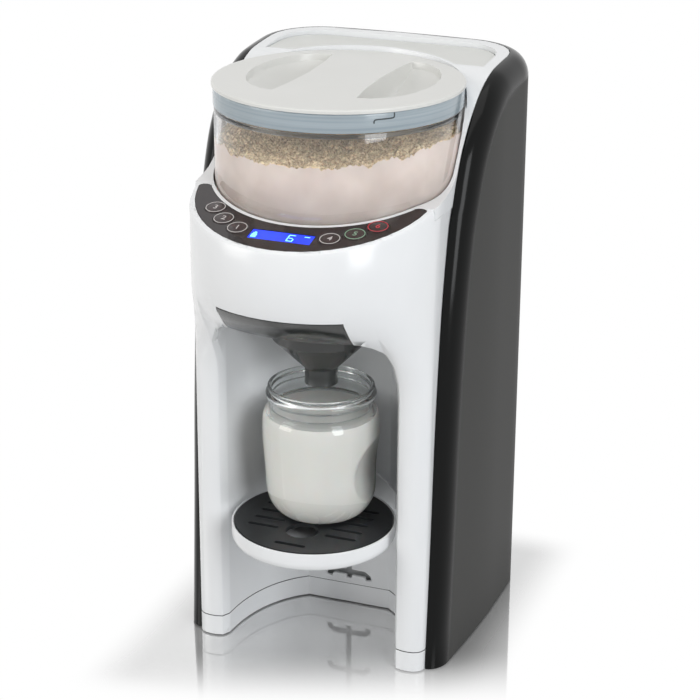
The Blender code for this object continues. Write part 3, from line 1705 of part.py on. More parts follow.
heater_profile = [
    (0, heater_high_z + nozzle_length),
    (nozzle_radius, heater_high_z + nozzle_length),
    (nozzle_radius, heater_high_z),
    (heater_radius, heater_high_z),
    (heater_radius, heater_low_z),
    (nozzle_radius, heater_low_z),
    (nozzle_radius, heater_low_z - nozzle_length),
    (0, heater_low_z - nozzle_length),
]
make_object("heater", *turned(heater_profile, heater_x, heater_y, 20), motor_steel)
spout_top_z = cradle_floor_z - 2 * gap - container_wall
spout_low_z = flange_top_z + 2 * gap
make_object("water_spout", *disc(spout_radius, spout_low_z, spout_top_z, 0, spout_y, 16), white_satin)


def route(start, end, shares):
    """A hose's points, as shares of the way from one place to another along X, Y and Z."""
    start, end = np.array(start), np.array(end)
    return [tuple(start + np.array(share) * (end - start)) for share in shares]


pump_inlet_z = 0.028
suction_start = (0, valve_y, seat_top_z - seat_thickness - gap)
suction_end = (pump_x, pump_y + pump_radius + gap, pump_inlet_z)
suction_shares = (
    (0, 0, 0),
    (0, 0, 0.43),
    (0.105, 0.095, 0.937),
    (0.474, 0.347, 1.127),
    (0.842, 0.536, 1.063),
    (1, 0.757, 1),
    (1, 1, 1),
)
tube("suction_tube", route(suction_start, suction_end, suction_shares), tube_radius, silicone)

loop_reach = 0.014
loop_rise = 0.020
hose_tail = 0.0107
pump_outlet_z = pump_top_z + nozzle_length + gap
heater_inlet_z = heater_low_z - nozzle_length - gap
pressure_start = (pump_x, pump_y, pump_outlet_z)
pressure_loop = (heater_x, pump_y + loop_reach, pump_outlet_z + loop_rise)
pressure_shares = (
    (0, 0, 0),
    (0, 0, 0.335),
    (0.053, 0.143, 0.835),
    (0.263, 0.571, 0.985),
    (0.474, 1, 0.385),
    (0.684, 0.857, -0.515),
    (0.895, 0.143, -0.815),
)
pressure_points = route(pressure_start, pressure_loop, pressure_shares)
pressure_points += [(heater_x, heater_y, heater_inlet_z - hose_tail), (heater_x, heater_y, heater_inlet_z)]
tube("pressure_tube", pressure_points, tube_radius, silicone)

hose_z = (shelf_top_z + cradle_floor_z) / 2
hot_start = (heater_x, heater_y, heater_high_z + nozzle_length + gap)
hot_corner = (riser_x, riser_y, hose_z)
hot_end = (-spout_radius - gap, spout_y, hose_z)
riser_shares = ((0, 0, 0), (0, 0, 0.1), (0.5, 1, 0.388), (1, 1, 0.676), (1, 1, 0.918))
shelf_shares = ((0.057, 0.111, 1), (0.305, 0.481, 1), (0.573, 0.852, 1), (0.763, 1, 1), (1, 1, 1))
hot_points = route(hot_start, hot_corner, riser_shares) + route(hot_corner, hot_end, shelf_shares)
tube("hot_tube", hot_points, tube_radius, silicone)

# Main board behind the bay, and the mains inlet
board_margin = 0.020
board_edge = 0.008
board_low_z = 0.110
board_high_z = 0.190
board_left_x = heater_x + board_margin
board_right_x = chassis_half - board_edge
board_front_y = upright_back_y + gap
board_rear_y = board_front_y + board_thickness
main_board = make_object(
    "main_board",
    *block((board_left_x, board_front_y, board_low_z), (board_right_x, board_rear_y, board_high_z)),
    board_green,
)
board_part_height = 0.010
board_part_shares = (
    ((0.265, 0.100), (0.529, 0.375), 1.0),
    ((0.618, 0.125), (0.912, 0.300), 0.6),
    ((0.647, 0.450), (0.882, 0.700), 0.8),
    ((0.118, 0.500), (0.441, 0.850), 0.4),
)
board_corner = np.array([board_left_x, board_low_z])
board_size = np.array([board_right_x, board_high_z]) - board_corner
for low_share, high_share, height_share in board_part_shares:
    low_x, low_z = board_corner + board_size * low_share
    high_x, high_z = board_corner + board_size * high_share
    part_rear_y = board_rear_y + board_part_height * height_share
    part = block((low_x, board_rear_y - board_thickness / 2, low_z), (high_x, part_rear_y, high_z))
    join(main_board, tool(part))

inlet_corner_margin = 0.0188
inlet_x = body_corner_radius - rear_half_width + inlet_corner_margin
inlet_z = 0.030
inlet_half_x = 0.0135
inlet_half_z = 0.010
inlet_wall = 0.0018
inlet_depth = 0.020
inlet_flange = 0.0025
rear_face_y = body_rear_y + stand_off
inlet_back_y = rear_face_y - gap
inlet_front_y = inlet_back_y - inlet_depth
flange_back_y = rear_face_y - shell_wall - gap


def inlet_block(grow, front_y, back_y):
    """A box on the inlet's middle, wider and higher than the inlet by a growth on each side."""
    half_x, half_z = inlet_half_x + grow, inlet_half_z + grow
    return block((inlet_x - half_x, front_y, inlet_z - half_z), (inlet_x + half_x, back_y, inlet_z + half_z))


power_inlet = make_object("power_inlet", *inlet_block(0, inlet_front_y, inlet_back_y), panel_black)
join(power_inlet, tool(inlet_block(inlet_flange, flange_back_y - inlet_flange, flange_back_y)))
cut(power_inlet, tool(inlet_block(-inlet_wall, inlet_front_y + inlet_wall, inlet_back_y + overrun)))
blade_half = 0.001
blade_height = 0.002
blade_spread = 0.007
blade_shift = 0.001
blade_end_y = inlet_back_y - inlet_wall * 2
for side in (-1, 0, 1):
    x = inlet_x + side * blade_spread
    z = inlet_z + blade_shift * (1 - 2 * abs(side))
    blade_low = (x - blade_half, inlet_front_y + inlet_wall / 2, z - blade_height)
    join(power_inlet, tool(block(blade_low, (x + blade_half, blade_end_y, z + blade_height))))
cut(outer_shell, tool(inlet_block(gap, rear_face_y - 2 * shell_wall, rear_face_y + overrun)))

# The row's origin is under the middle of the whole outline
middle_y = (head_front_y + rear_face_y) / 2
machine = empty_at("machine", (0, -middle_y, 0))
for piece in list(bpy.data.objects):
    if piece.parent is None and piece is not machine:
        piece.parent = machine
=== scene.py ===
"""Baby formula maker: finishes, fine surfaces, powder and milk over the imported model."""

import json
import math

import bmesh
import bpy
import numpy as np
from mathutils import Matrix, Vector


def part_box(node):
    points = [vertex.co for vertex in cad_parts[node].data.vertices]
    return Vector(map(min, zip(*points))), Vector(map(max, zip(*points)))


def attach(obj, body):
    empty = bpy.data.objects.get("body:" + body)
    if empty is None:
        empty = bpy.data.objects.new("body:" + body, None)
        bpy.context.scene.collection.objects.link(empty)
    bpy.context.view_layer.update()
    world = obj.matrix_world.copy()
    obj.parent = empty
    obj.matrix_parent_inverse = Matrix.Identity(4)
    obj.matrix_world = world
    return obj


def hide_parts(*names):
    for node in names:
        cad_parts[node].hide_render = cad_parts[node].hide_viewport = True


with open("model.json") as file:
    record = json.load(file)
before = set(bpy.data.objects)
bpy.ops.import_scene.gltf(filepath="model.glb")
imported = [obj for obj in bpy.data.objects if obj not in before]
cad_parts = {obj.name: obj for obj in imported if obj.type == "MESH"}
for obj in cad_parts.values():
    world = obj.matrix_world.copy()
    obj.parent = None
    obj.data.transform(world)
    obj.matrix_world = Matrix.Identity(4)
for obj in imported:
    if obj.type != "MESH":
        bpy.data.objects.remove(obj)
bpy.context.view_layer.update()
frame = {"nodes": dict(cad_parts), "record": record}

# Front housing: one injection moulding in white ABS with the bulging head, the two legs and the
# bottle bay. A polished tool leaves it glossy, with only a faint waviness in the reflections.


def tone(code):
    """An sRGB hex colour as linear red, green, blue and full alpha."""
    share = np.array([int(code[place : place + 2], 16) for place in (1, 3, 5)]) / 255
    bright = ((share + 0.055) / 1.055) ** 2.4
    return (*np.where(share <= 0.04045, share / 12.92, bright).tolist(), 1.0)


def add_node(tree, kind, sockets=None, **settings):
    """One node with its settings; each socket takes a value or a link from another node."""
    node = tree.nodes.new(kind)
    for name, value in settings.items():
        setattr(node, name, value)
    for socket, value in (sockets or {}).items():
        if isinstance(value, bpy.types.NodeSocket):
            tree.links.new(value, node.inputs[socket])
        else:
            node.inputs[socket].default_value = value
    return node


def start_material(name, **constants):
    """A material, its node tree, its Principled shader with constants on the shader's own sockets,
    and the object's own coordinates."""
    material = bpy.data.materials.new(name)
    material.use_nodes = True
    tree = material.node_tree
    shader = tree.nodes["Principled BSDF"]
    for socket, value in constants.items():
        shader.inputs[socket.replace("_", " ")].default_value = value
    return material, tree, shader, add_node(tree, "ShaderNodeTexCoord").outputs["Object"]


def noise(tree, place, scale, detail=2.0, roughness=0.5):
    """A noise from nothing to one, whose grain is one over the scale, in metres."""
    sockets = {"Vector": place, "Scale": scale, "Detail": detail, "Roughness": roughness}
    return add_node(tree, "ShaderNodeTexNoise", sockets).outputs["Fac"]


def blend(tree, share, first, second):
    """A colour between two, by a share from nothing to one."""
    sockets = {"Factor": share, "A": first, "B": second}
    return add_node(tree, "ShaderNodeMix", sockets, data_type="RGBA").outputs["Result"]


def paint(tree, shader, share, first, second):
    """Gives the shader a base colour between two."""
    tree.links.new(blend(tree, share, first, second), shader.inputs["Base Color"])


def relief(tree, shader, height, strength, distance):
    """Tilts the shader's normals as a height would that rises by a distance in metres."""
    sockets = {"Height": height, "Strength": strength, "Distance": distance}
    bump = add_node(tree, "ShaderNodeBump", sockets)
    tree.links.new(bump.outputs["Normal"], shader.inputs["Normal"])


body_of = {
    node: body for body, nodes in frame["record"]["behaviour"]["bodies"].items() for node in nodes
}


def finish_piece(name, mesh, material, slot, body, replaced=(), sharp_degrees=35):
    """Shades a mesh smooth up to an angle, makes it an object and ties it to its body."""
    mesh.materials.clear()
    mesh.materials.append(material)
    mesh.shade_smooth()
    mesh.set_sharp_from_angle(angle=math.radians(sharp_degrees))
    piece = bpy.data.objects.new(name, mesh)
    bpy.context.scene.collection.objects.link(piece)
    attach(piece, body)
    if replaced:
        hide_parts(*replaced)
    return piece


weld_distance = 0.000002
flat_degrees = 0.3
thin_wall_share = 0.25
above_everything = 1.0


def rounded_copy(
    node, material, slot, edge_radius, sharp_degrees=35, full_below=above_everything
):
    """A CAD node with its triangles merged into faces and its sharp edges rounded by a bevel, which
    is a quarter as wide above a given height, where the walls are thin."""
    mesh = frame["nodes"][node].data.copy()
    merged = bmesh.new()
    merged.from_mesh(mesh)
    bmesh.ops.remove_doubles(merged, verts=merged.verts, dist=weld_distance)
    bmesh.ops.dissolve_limit(
        merged, angle_limit=math.radians(flat_degrees), verts=merged.verts, edges=merged.edges
    )
    share = merged.edges.layers.float.new("bevel_weight_edge")
    for edge in merged.edges:
        if edge.calc_face_angle(0) > math.radians(sharp_degrees):
            edge[share] = 1.0 if edge.verts[0].co.z < full_below else thin_wall_share
    merged.to_mesh(mesh)
    merged.free()
    piece = finish_piece(
        f"{node}_moulding", mesh, material, slot, body_of[node], [node], sharp_degrees
    )
    rounding = piece.modifiers.new("rounded_edges", "BEVEL")
    rounding.width = edge_radius
    rounding.segments = 3
    rounding.limit_method = "WEIGHT"
    rounding.harden_normals = True
    rounding.use_clamp_overlap = full_below == above_everything
    return piece


# White ABS: the flow of the melt shows as a change of shade of about two per cent over 40 mm
white_abs, tree, shader, place = start_material("polished_white_abs", Roughness=0.2, IOR=1.53)
paint(tree, shader, noise(tree, place, 25.0), tone("#eceef0"), tone("#f1f2f3"))
# Shrinkage waves 12 mm apart, a few hundredths of a millimetre high
relief(tree, shader, noise(tree, place, 80.0, 1.0), 0.05, 0.0004)

rounded_copy("front_housing", white_abs, "white_gloss", 0.0007, full_below=0.24)

# Base tray, feet and screws: the tray is the same white ABS, whose upstand shows as the skirt; the
# feet are moulded rubber and the screws zinc-plated steel.
rounded_copy("base_tray", white_abs, "white_gloss", 0.0004)


def joint_strip(node, setback, height):
    """A strip on a node's level top rim: the rim's faces drawn in from their edges and raised."""
    rim_margin = 0.00001
    strip = bmesh.new()
    strip.from_mesh(frame["nodes"][node].data)
    bmesh.ops.remove_doubles(strip, verts=strip.verts, dist=weld_distance)
    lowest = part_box(node)[1].z - rim_margin
    rim = {face for face in strip.faces if min(corner.co.z for corner in face.verts) > lowest}
    bmesh.ops.delete(strip, geom=[face for face in strip.faces if face not in rim], context="FACES")
    border = bmesh.ops.inset_region(
        strip, faces=strip.faces, thickness=setback, use_boundary=True
    )["faces"]
    bmesh.ops.delete(strip, geom=border, context="FACES")
    bottom = list(strip.faces)
    raised = bmesh.ops.extrude_face_region(strip, geom=bottom, use_keep_orig=True)["geom"]
    for corner in raised:
        if isinstance(corner, bmesh.types.BMVert):
            corner.co.z += height
    bmesh.ops.recalc_face_normals(strip, faces=strip.faces)
    # The extrusion's order changes from run to run, so corners and faces are put in order
    corners = sorted(strip.verts, key=lambda corner: tuple(corner.co))
    number = {corner: place for place, corner in enumerate(corners)}
    faces = []
    for face in strip.faces:
        ring = [number[corner] for corner in face.verts]
        first = ring.index(min(ring))
        faces.append(ring[first:] + ring[:first])
    mesh = bpy.data.meshes.new("joint_strip")
    mesh.from_pydata([tuple(corner.co) for corner in corners], [], sorted(faces))
    strip.free()
    return mesh


def dress(material, *nodes):
    """Gives CAD nodes that keep their shape their finish."""
    for node in nodes:
        solid = frame["nodes"][node]
        if not solid.data.materials:
            solid.data.materials.append(material)
        for place_in_list in range(len(solid.material_slots)):
            solid.material_slots[place_in_list].material = material


# Moulded rubber: talc and handling leave a fine mottle, drawn at 1 mm
foot_rubber, tree, shader, place = start_material(
    "moulded_rubber", Base_Color=tone("#3a3a3c"), Roughness=0.75
)
relief(tree, shader, noise(tree, place, 1000.0, 3.0), 0.3, 0.0001)
dress(foot_rubber, "foot_1", "foot_2", "foot_3", "foot_4", "pump_mount", "seat_seal")
# A thin dark strip in the joint between tray and housing reads as the machine's low seam; it is
# painted shade, a dark sheet laid where the joint's shadow falls
joint_shade_setback, joint_shade_height = 0.0001, 0.00027
joint_shade_mesh = joint_strip("base_tray", joint_shade_setback, joint_shade_height)
finish_piece("tray_joint_shade_strip", joint_shade_mesh, foot_rubber, "seal_rubber", "machine")


def two_tone(name, scale, first, second, detail=2.0, **constants):
    """A material whose colour drifts between two tones, in blotches of one over the scale."""
    material, tree, shader, place = start_material(name, **constants)
    paint(tree, shader, noise(tree, place, scale, detail), tone(first), tone(second))
    return material


# Zinc-plated steel, with a spangle of under a millimetre
zinc = two_tone("zinc_plated_steel", 1500.0, "#a5a8aa", "#c8cacc", Metallic=1.0, Roughness=0.35)
dress(zinc, "base_screw_1", "base_screw_2", "base_screw_3", "base_screw_4", "drive_motor", "heater")

# Outer shell: one wrap-round moulding in dark ABS. Its sides are finely spark-eroded and look satin
# charcoal, and its rounded front and top edge is polished black.
middle_y = 0.00305
seam_front_y, seam_run, seam_rise = -0.0533, 0.1613, 0.375
seam_low_shares = (
    (0.0, 0.0), (0.039, 0.251), (0.0645, 0.437), (0.110, 0.627), (0.168, 0.759), (0.201, 0.797),
    (0.240, 0.840),
)
deck_front_y, deck_run, deck_low_z, deck_high_z, deck_crown = -0.0489, 0.1552, 0.3069, 0.3720, 0.001
deck_shares = (
    (0.0, 0.0), (0.09, 0.028), (0.16, 0.075), (0.221, 0.17), (0.282, 0.395), (0.376, 0.655),
    (0.477, 0.832), (0.585, 0.937), (0.679, 0.972), (0.87, 0.995), (1.0, 1.0),
)
first_shared_knot = 4
shoulder_knot = 5
body_half_width, body_flare, flare_start_y, flare_end_y = 0.0783, 0.0025, -0.050, 0.040
body_rear_y, body_corner = 0.1118, 0.032
shell_bottom_z, shell_wall, shell_gap = 0.001, 0.0024, 0.0003
stand_off_front, stand_off, stand_off_run, edge_width = 0.0104, 0.0125, 0.10, 0.015


def quads(rows, columns, closed_rows=True, closed_columns=True):
    """Corner numbers of the cells of a grid of points, joined round where a direction is closed."""
    row = np.arange(rows - (not closed_rows))[:, None]
    column = np.arange(columns - (not closed_columns))[None, :]
    here, there, beside = row * columns, (row + 1) % rows * columns, (column + 1) % columns
    corners = np.broadcast_arrays(here + column, here + beside, there + beside, there + column)
    return np.stack(corners, -1).reshape(-1, 4)


pole_distance = 0.000001


def closed_mesh(name, points, faces):
    """A mesh from arrays, with its poles and seams merged and its faces turned outwards."""
    mesh = bpy.data.meshes.new(name)
    mesh.from_pydata(np.reshape(points, (-1, 3)).tolist(), [], np.reshape(faces, (-1, 4)).tolist())
    whole = bmesh.new()
    whole.from_mesh(mesh)
    bmesh.ops.remove_doubles(whole, verts=whole.verts, dist=pole_distance)
    bmesh.ops.recalc_face_normals(whole, faces=whole.faces)
    whole.to_mesh(mesh)
    whole.free()
    return mesh


def smooth_line(points, steps):
    """A Catmull-Rom curve: each stretch blends its four nearest points with cubic weights."""
    knots = np.array(points, float)
    knots = np.vstack([2 * knots[0] - knots[1], knots, 2 * knots[-1] - knots[-2]])
    before, start, stop, after = (knots[first : len(knots) - 3 + first, None] for first in range(4))
    t = np.linspace(0, 1, steps, endpoint=False)[None, :, None]
    curve = 2 * start + (stop - before) * t + (2 * before - 5 * start + 4 * stop - after) * t**2
    curve = 0.5 * (curve + (3 * start - before - 3 * stop + after) * t**3)
    return np.vstack([curve.reshape(-1, knots.shape[1]), knots[-2]])


deck_size = (deck_run, deck_high_z - deck_low_z)
deck_knots = np.array(deck_shares) * deck_size + (deck_front_y, deck_low_z)
line_steps = 8
deck_line = smooth_line(deck_knots, line_steps)
low_knots = np.array(seam_low_shares) * (seam_run, seam_rise) + (seam_front_y, 0)
low_knots[0, 1] = shell_bottom_z
seam_line = smooth_line(np.vstack([low_knots, deck_knots[first_shared_knot:]]), line_steps)

side_run = body_rear_y - body_corner - seam_front_y
corner_run = math.pi / 2 * body_corner
rear_half_width = body_half_width + body_flare
half_run = side_run + corner_run + rear_half_width - body_corner


def body_plan(run):
    """Point on the body's plan at a run from the seam's foot, and the outward direction there."""
    y = seam_front_y + run
    t = np.clip((y - flare_start_y) / (flare_end_y - flare_start_y), 0, 1)
    side = np.stack([body_half_width + body_flare * t * t * (3 - 2 * t), y], -1)
    turn = np.clip((run - side_run) / body_corner, 0, math.pi / 2)
    away = np.stack([np.cos(turn), np.sin(turn)], -1)
    centre = np.array([rear_half_width - body_corner, body_rear_y - body_corner])
    corner = centre + body_corner * away
    corner[..., 0] -= np.maximum(run - side_run - corner_run, 0)
    return np.where((run < side_run)[..., None], side, corner), away


def seam_on_run():
    """The seam as (run, height): up the side, over the shoulder and along the rear edge."""
    rear_count, crown_slope, crown_start = 30, 2.5, 0.5
    side = seam_line[seam_line[:, 0] - seam_front_y < side_run] - (seam_front_y, 0)
    runs = np.linspace(side_run, half_run, rear_count)
    x, y = body_plan(runs)[0].T
    height = np.interp(y, deck_line[:, 0], deck_line[:, 1])
    rise = np.clip(crown_slope * ((y - deck_front_y) / deck_run - crown_start), 0, 1)
    height += deck_crown * rise * np.maximum(1 - (x / body_half_width) ** 2, 0)
    return np.vstack([side, np.stack([runs, height], -1)])


seam = seam_on_run()
shoulder = int(np.argmin(abs(seam[:, 0] - (deck_knots[shoulder_knot, 0] - seam_front_y))))


def seam_distance(points):
    """Least distance of each (run, height) point from the seam, over all its short stretches."""
    start, step = seam[:-1], np.diff(seam, axis=0)
    offset = points[..., None, :] - start
    share = np.clip((offset * step).sum(-1) / (step**2).sum(-1), 0, 1)
    return np.linalg.norm(offset - share[..., None] * step, axis=-1).min(-1)


def part_way(line, shares):
    """Points at shares of a line's length."""
    lengths = np.concatenate([[0], np.cumsum(np.linalg.norm(np.diff(line, axis=0), axis=1))])
    reached = shares * lengths[-1]
    return np.stack([np.interp(reached, lengths, line[:, axis]) for axis in (0, 1)], -1)


def shell_face(depth, runs, shares):
    """One face of the shell. Columns follow the seam's bow at the front and stand upright at the
    rear, and the face stands off the body by a quarter round across the edge band."""
    along_seam = np.gradient(seam, axis=0)
    along_seam /= np.linalg.norm(along_seam, axis=1)[:, None]
    edge = seam + depth * np.stack([along_seam[:, 1], -along_seam[:, 0]], 1)
    edge[0] = (depth, shell_bottom_z)
    edge[-1, 0] = half_run
    front, top = edge[: shoulder + 1], edge[shoulder:]
    along = np.minimum(runs / side_run, 1)
    low_run = np.maximum(runs, depth + (side_run - depth) * along)
    high_run = np.maximum(runs, top[0, 0] + (side_run - top[0, 0]) * along)
    low = np.stack([low_run, np.full_like(low_run, shell_bottom_z)], -1)[:, None]
    high = np.stack([high_run, np.interp(high_run, top[:, 0], top[:, 1])], -1)[:, None]
    share = shares[None, :, None]
    bow = part_way(front, shares) - (1 - shares[:, None]) * front[0] - shares[:, None] * front[-1]
    point = (1 - share) * low + share * high + (1 - along[:, None, None]) ** 2 * bow[None]
    stretch = np.minimum(point[..., 0] / stand_off_run, 1)
    reach = stand_off_front + (stand_off - stand_off_front) * stretch * (2 - stretch) - depth
    inward = np.clip((seam_distance(point) - depth) / (edge_width - depth), 0, 1)
    rise = shell_gap + (reach - shell_gap) * np.sqrt(1 - (1 - inward) ** 2)
    plan, away = body_plan(point[..., 0])
    plan = plan + rise[..., None] * away
    return np.concatenate([plan - (0, middle_y), point[..., 1:]], -1)


def mirrored(face):
    """A half face and its reflection in the middle plane, as one grid."""
    return np.concatenate([face[:-1], face[-1:] * (0, 1, 1), face[-2::-1] * (-1, 1, 1)])


# Columns crowd towards the seam's foot and levels towards the top edge, where the shell curves most
side_columns, corner_columns, rear_columns, shell_levels = 44, 15, 8, 56
front_crowding, top_crowding = 2.0, 2.2
shell_runs = np.concatenate(
    [
        side_run * np.linspace(0, 1, side_columns) ** front_crowding,
        side_run + corner_run * np.linspace(0, 1, corner_columns)[1:],
        np.linspace(side_run + corner_run, half_run, rear_columns)[1:],
    ]
)
shell_shares = 1 - (1 - np.linspace(0, 1, shell_levels)) ** top_crowding
outside = mirrored(shell_face(0.0, shell_runs, shell_shares))
inside = mirrored(shell_face(shell_wall, shell_runs, shell_shares))
columns, levels = outside.shape[:2]
wall_points = np.concatenate([outside, inside[:, ::-1]], 1)
wall_faces = [quads(columns, 2 * levels, closed_rows=False)]
for end in (0, columns - 1):
    first = end * 2 * levels
    near = first + np.arange(levels)
    far = first + 2 * levels - 1 - np.arange(levels)
    wall_faces.append(np.stack([near[:-1], near[1:], far[1:], far[:-1]], -1))
shell_mesh = closed_mesh("outer_shell_moulding", wall_points, np.concatenate(wall_faces))


def spread(tree, value, low, high):
    """A value from nothing to one, carried to a range."""
    sockets = {"Value": value, "To Min": low, "To Max": high}
    return add_node(tree, "ShaderNodeMapRange", sockets).outputs["Result"]


shell_abs, tree, shader, place = start_material(
    "spark_eroded_charcoal_abs", IOR=1.53, Specular_IOR_Level=0.15
)
polish = add_node(tree, "ShaderNodeAttribute", attribute_name="polished_edge").outputs["Fac"]
# Spark erosion leaves pits of about 0.05 mm, drawn here at 0.8 mm so that they show
pits = noise(tree, place, 1250.0)
satin = blend(tree, pits, tone("#292928"), tone("#31312f"))
paint(tree, shader, polish, satin, tone("#060707"))
tree.links.new(spread(tree, polish, 0.5, 0.15), shader.inputs["Roughness"])
relief(tree, shader, pits, 0.12, 0.0001)


def cut_away(mesh, low, high):
    """Takes a box out of a closed mesh with an exact Boolean, whose result becomes the mesh."""
    x, y, z = (np.array(pair) for pair in zip(low, high))
    corner = np.stack(np.meshgrid(x, y, z, indexing="ij"), -1).reshape(-1, 3)
    sides = [[0, 1, 3, 2], [4, 6, 7, 5], [0, 4, 5, 1], [2, 3, 7, 6], [0, 2, 6, 4], [1, 5, 7, 3]]
    blank = bpy.data.objects.new("blank", mesh)
    cutter = bpy.data.objects.new("cutter", closed_mesh("cutter", corner, np.array(sides)))
    for helper in (blank, cutter):
        bpy.context.scene.collection.objects.link(helper)
    change = blank.modifiers.new("opening", "BOOLEAN")
    change.solver = "EXACT"
    change.object = cutter
    evaluated = blank.evaluated_get(bpy.context.evaluated_depsgraph_get())
    result = bpy.data.meshes.new_from_object(evaluated)
    for helper in (blank, cutter):
        bpy.data.objects.remove(helper)
    return result


inlet_low, inlet_high = (np.array(corner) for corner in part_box("power_inlet"))
flange_overlap = 0.0025
flange_reach = flange_overlap - shell_gap
shell_mesh = cut_away(
    shell_mesh,
    (inlet_low[0] + flange_reach, inlet_high[1] - 3 * shell_wall, inlet_low[2] + flange_reach),
    (inlet_high[0] - flange_reach, inlet_high[1] + shell_wall, inlet_high[2] - flange_reach),
)
shell_points = np.zeros(3 * len(shell_mesh.vertices))
shell_mesh.vertices.foreach_get("co", shell_points)
shell_points = shell_points.reshape(-1, 3)


def plan_run(points):
    """The run on the body's plan that lies nearest to each point, a little off the plan itself."""
    run_count, off_share = 700, 0.6
    steps = np.linspace(0, half_run, run_count)
    plan, away = body_plan(steps)
    plan = plan + away * off_share * stand_off
    seen = np.stack([abs(points[:, 0]), points[:, 1] + middle_y], -1)
    return steps[np.argmin(((seen[:, None] - plan[None]) ** 2).sum(-1), 1)]


polish_width, polish_blend = 0.0125, 0.003
distance = seam_distance(np.stack([plan_run(shell_points), shell_points[:, 2]], -1))
polished = np.clip((polish_width + polish_blend - distance) / polish_blend, 0, 1)
attribute = shell_mesh.attributes.new("polished_edge", "FLOAT", "POINT")
attribute.data.foreach_set("value", polished.astype(np.float32))
finish_piece("outer_shell_moulding", shell_mesh, shell_abs, "charcoal", "machine", ["outer_shell"])

# Rear deck and the tank's lid: the deck is the white ABS again, and the lid is a pale warm grey
# panel that lies in it over the water tank and hinges at the rear.
rounded_copy("top_deck", white_abs, "white_gloss", 0.0008)

# Satin ABS, whose shade drifts over 30 mm
lid_plastic = two_tone("satin_grey_abs", 30.0, "#d6d7d3", "#dedfdb", Roughness=0.33, IOR=1.53)
rounded_copy("tank_lid", lid_plastic, "pale_grey", 0.0005)

# Control panel: a crescent of back-printed acrylic, near-black with a brown cast, over a blue
# backlit display. Its seven-segment figure and marks are the lit parts of the liquid crystal.
# Acrylic printed on its back, smeared by fingers over 17 mm
panel_black = two_tone(
    "back_printed_acrylic", 60.0, "#180d0e", "#221516", detail=3.0, Roughness=0.07, IOR=1.49
)
rounded_copy("panel_fascia", panel_black, "panel_black", 0.0004)

# Backlit display, whose backlight is a little uneven over 25 mm
display_blue, tree, shader, place = start_material(
    "backlit_blue_display", Roughness=0.15, Emission_Strength=0.62
)
glow = blend(tree, noise(tree, place, 40.0, 1.0), tone("#0c2ce8"), tone("#1d48f4"))
for socket in ("Base Color", "Emission Color"):
    tree.links.new(glow, shader.inputs[socket])
dress(display_blue, "lcd_display")

panel_tilt = math.atan(0.22)
panel_origin = np.array([0.0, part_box("front_housing")[0].y, 0.2917])
panel_axes = np.array(
    [
        [1, 0, 0],
        [0, math.cos(panel_tilt), math.sin(panel_tilt)],
        [0, -math.sin(panel_tilt), math.cos(panel_tilt)],
    ]
)


def from_panel(points):
    """Points given across, up and out of the tilted panel, in the shared frame."""
    return panel_origin + np.asarray(points) @ panel_axes


def on_panel_plane(node):
    """Lowest and highest corner of a CAD node in the panel's own directions."""
    points = np.array([corner.co for corner in frame["nodes"][node].data.vertices])
    local = (points - panel_origin) @ panel_axes.T
    return local.min(0), local.max(0)


def slabs(outlines, low, high):
    """Flat prisms: each four-cornered outline carried from one height to another."""
    flat = np.array(outlines, float)
    count = len(flat)
    corners = np.zeros((count, 2, 4, 3))
    corners[..., :2] = flat[:, None]
    corners[:, 0, :, 2], corners[:, 1, :, 2] = low, high
    sides = np.array(
        [[0, 3, 2, 1], [4, 5, 6, 7], [0, 1, 5, 4], [1, 2, 6, 5], [2, 3, 7, 6], [3, 0, 4, 7]]
    )
    return corners, (8 * np.arange(count)[:, None, None] + sides).reshape(-1, 4)


display_low, display_high = on_panel_plane("lcd_display")
display_top = display_high[2]
mark_lift, mark_height = 0.00003, 0.00012
figure_left, figure_foot = 0.0040, display_low[1] + 0.0013
figure_width, figure_height, stroke = 0.0044, 0.0074, 0.0008


def bar(left, right, low, high):
    """A four-cornered outline in the panel's plane."""
    return [(left, low), (right, low), (right, high), (left, high)]


def upright_bar(x, low, high):
    """An upright segment, one stroke wide."""
    return bar(x, x + stroke, low, high)


def level_bar(y, low, high):
    """A level segment, one stroke high."""
    return bar(low, high, y, y + stroke)


split = 0.0002
right_x = figure_left + figure_width - stroke
middle_up = figure_foot + figure_height / 2 - stroke / 2
top_up = figure_foot + figure_height - stroke
figure_bars = [
    level_bar(figure_foot, figure_left + split, right_x + stroke - split),
    level_bar(middle_up, figure_left + stroke + split, right_x - split),
    level_bar(top_up, figure_left + split, right_x + stroke - split),
    upright_bar(figure_left, figure_foot + stroke + split, middle_up + stroke / 2 - split),
    upright_bar(figure_left, middle_up + stroke / 2 + split, top_up - split),
    upright_bar(right_x, figure_foot + stroke + split, middle_up - split),
]
unit_left, unit_width, unit_up = 0.0138, 0.0034, figure_foot + figure_height - 0.0010
figure_bars.append(level_bar(unit_up, unit_left, unit_left + unit_width))
# The bottle mark from its foot up, as (half width, low, high): body, shoulder, ring and teat
bottle_x, bottle_foot = -0.0167, figure_foot + 0.0002
for half_width, low, high in (
    (0.0017, 0, 0.0036),
    (0.0012, 0.0036, 0.0042),
    (0.0013, 0.0045, 0.0052),
    (0.0006, 0.0052, 0.0062),
):
    figure_bars.append(
        bar(bottle_x - half_width, bottle_x + half_width, bottle_foot + low, bottle_foot + high)
    )
# Lit liquid crystal, a little brighter in some spots than in others
lit_segment, tree, shader, place = start_material(
    "lit_liquid_crystal", Base_Color=tone("#8fe6ff"), Emission_Color=tone("#7fdcff"), Roughness=0.3
)
power = spread(tree, noise(tree, place, 300.0), 0.7, 0.95)
tree.links.new(power, shader.inputs["Emission Strength"])


def new_piece(name, points, faces, *rest, **settings):
    """A piece made from arrays: a closed mesh, finished and tied to its body."""
    return finish_piece(name, closed_mesh(name, points, faces), *rest, **settings)


corners, faces = slabs(figure_bars, display_top + mark_lift, display_top + mark_height)
new_piece("display_figure", from_panel(corners), faces, lit_segment, "display_blue", "machine")

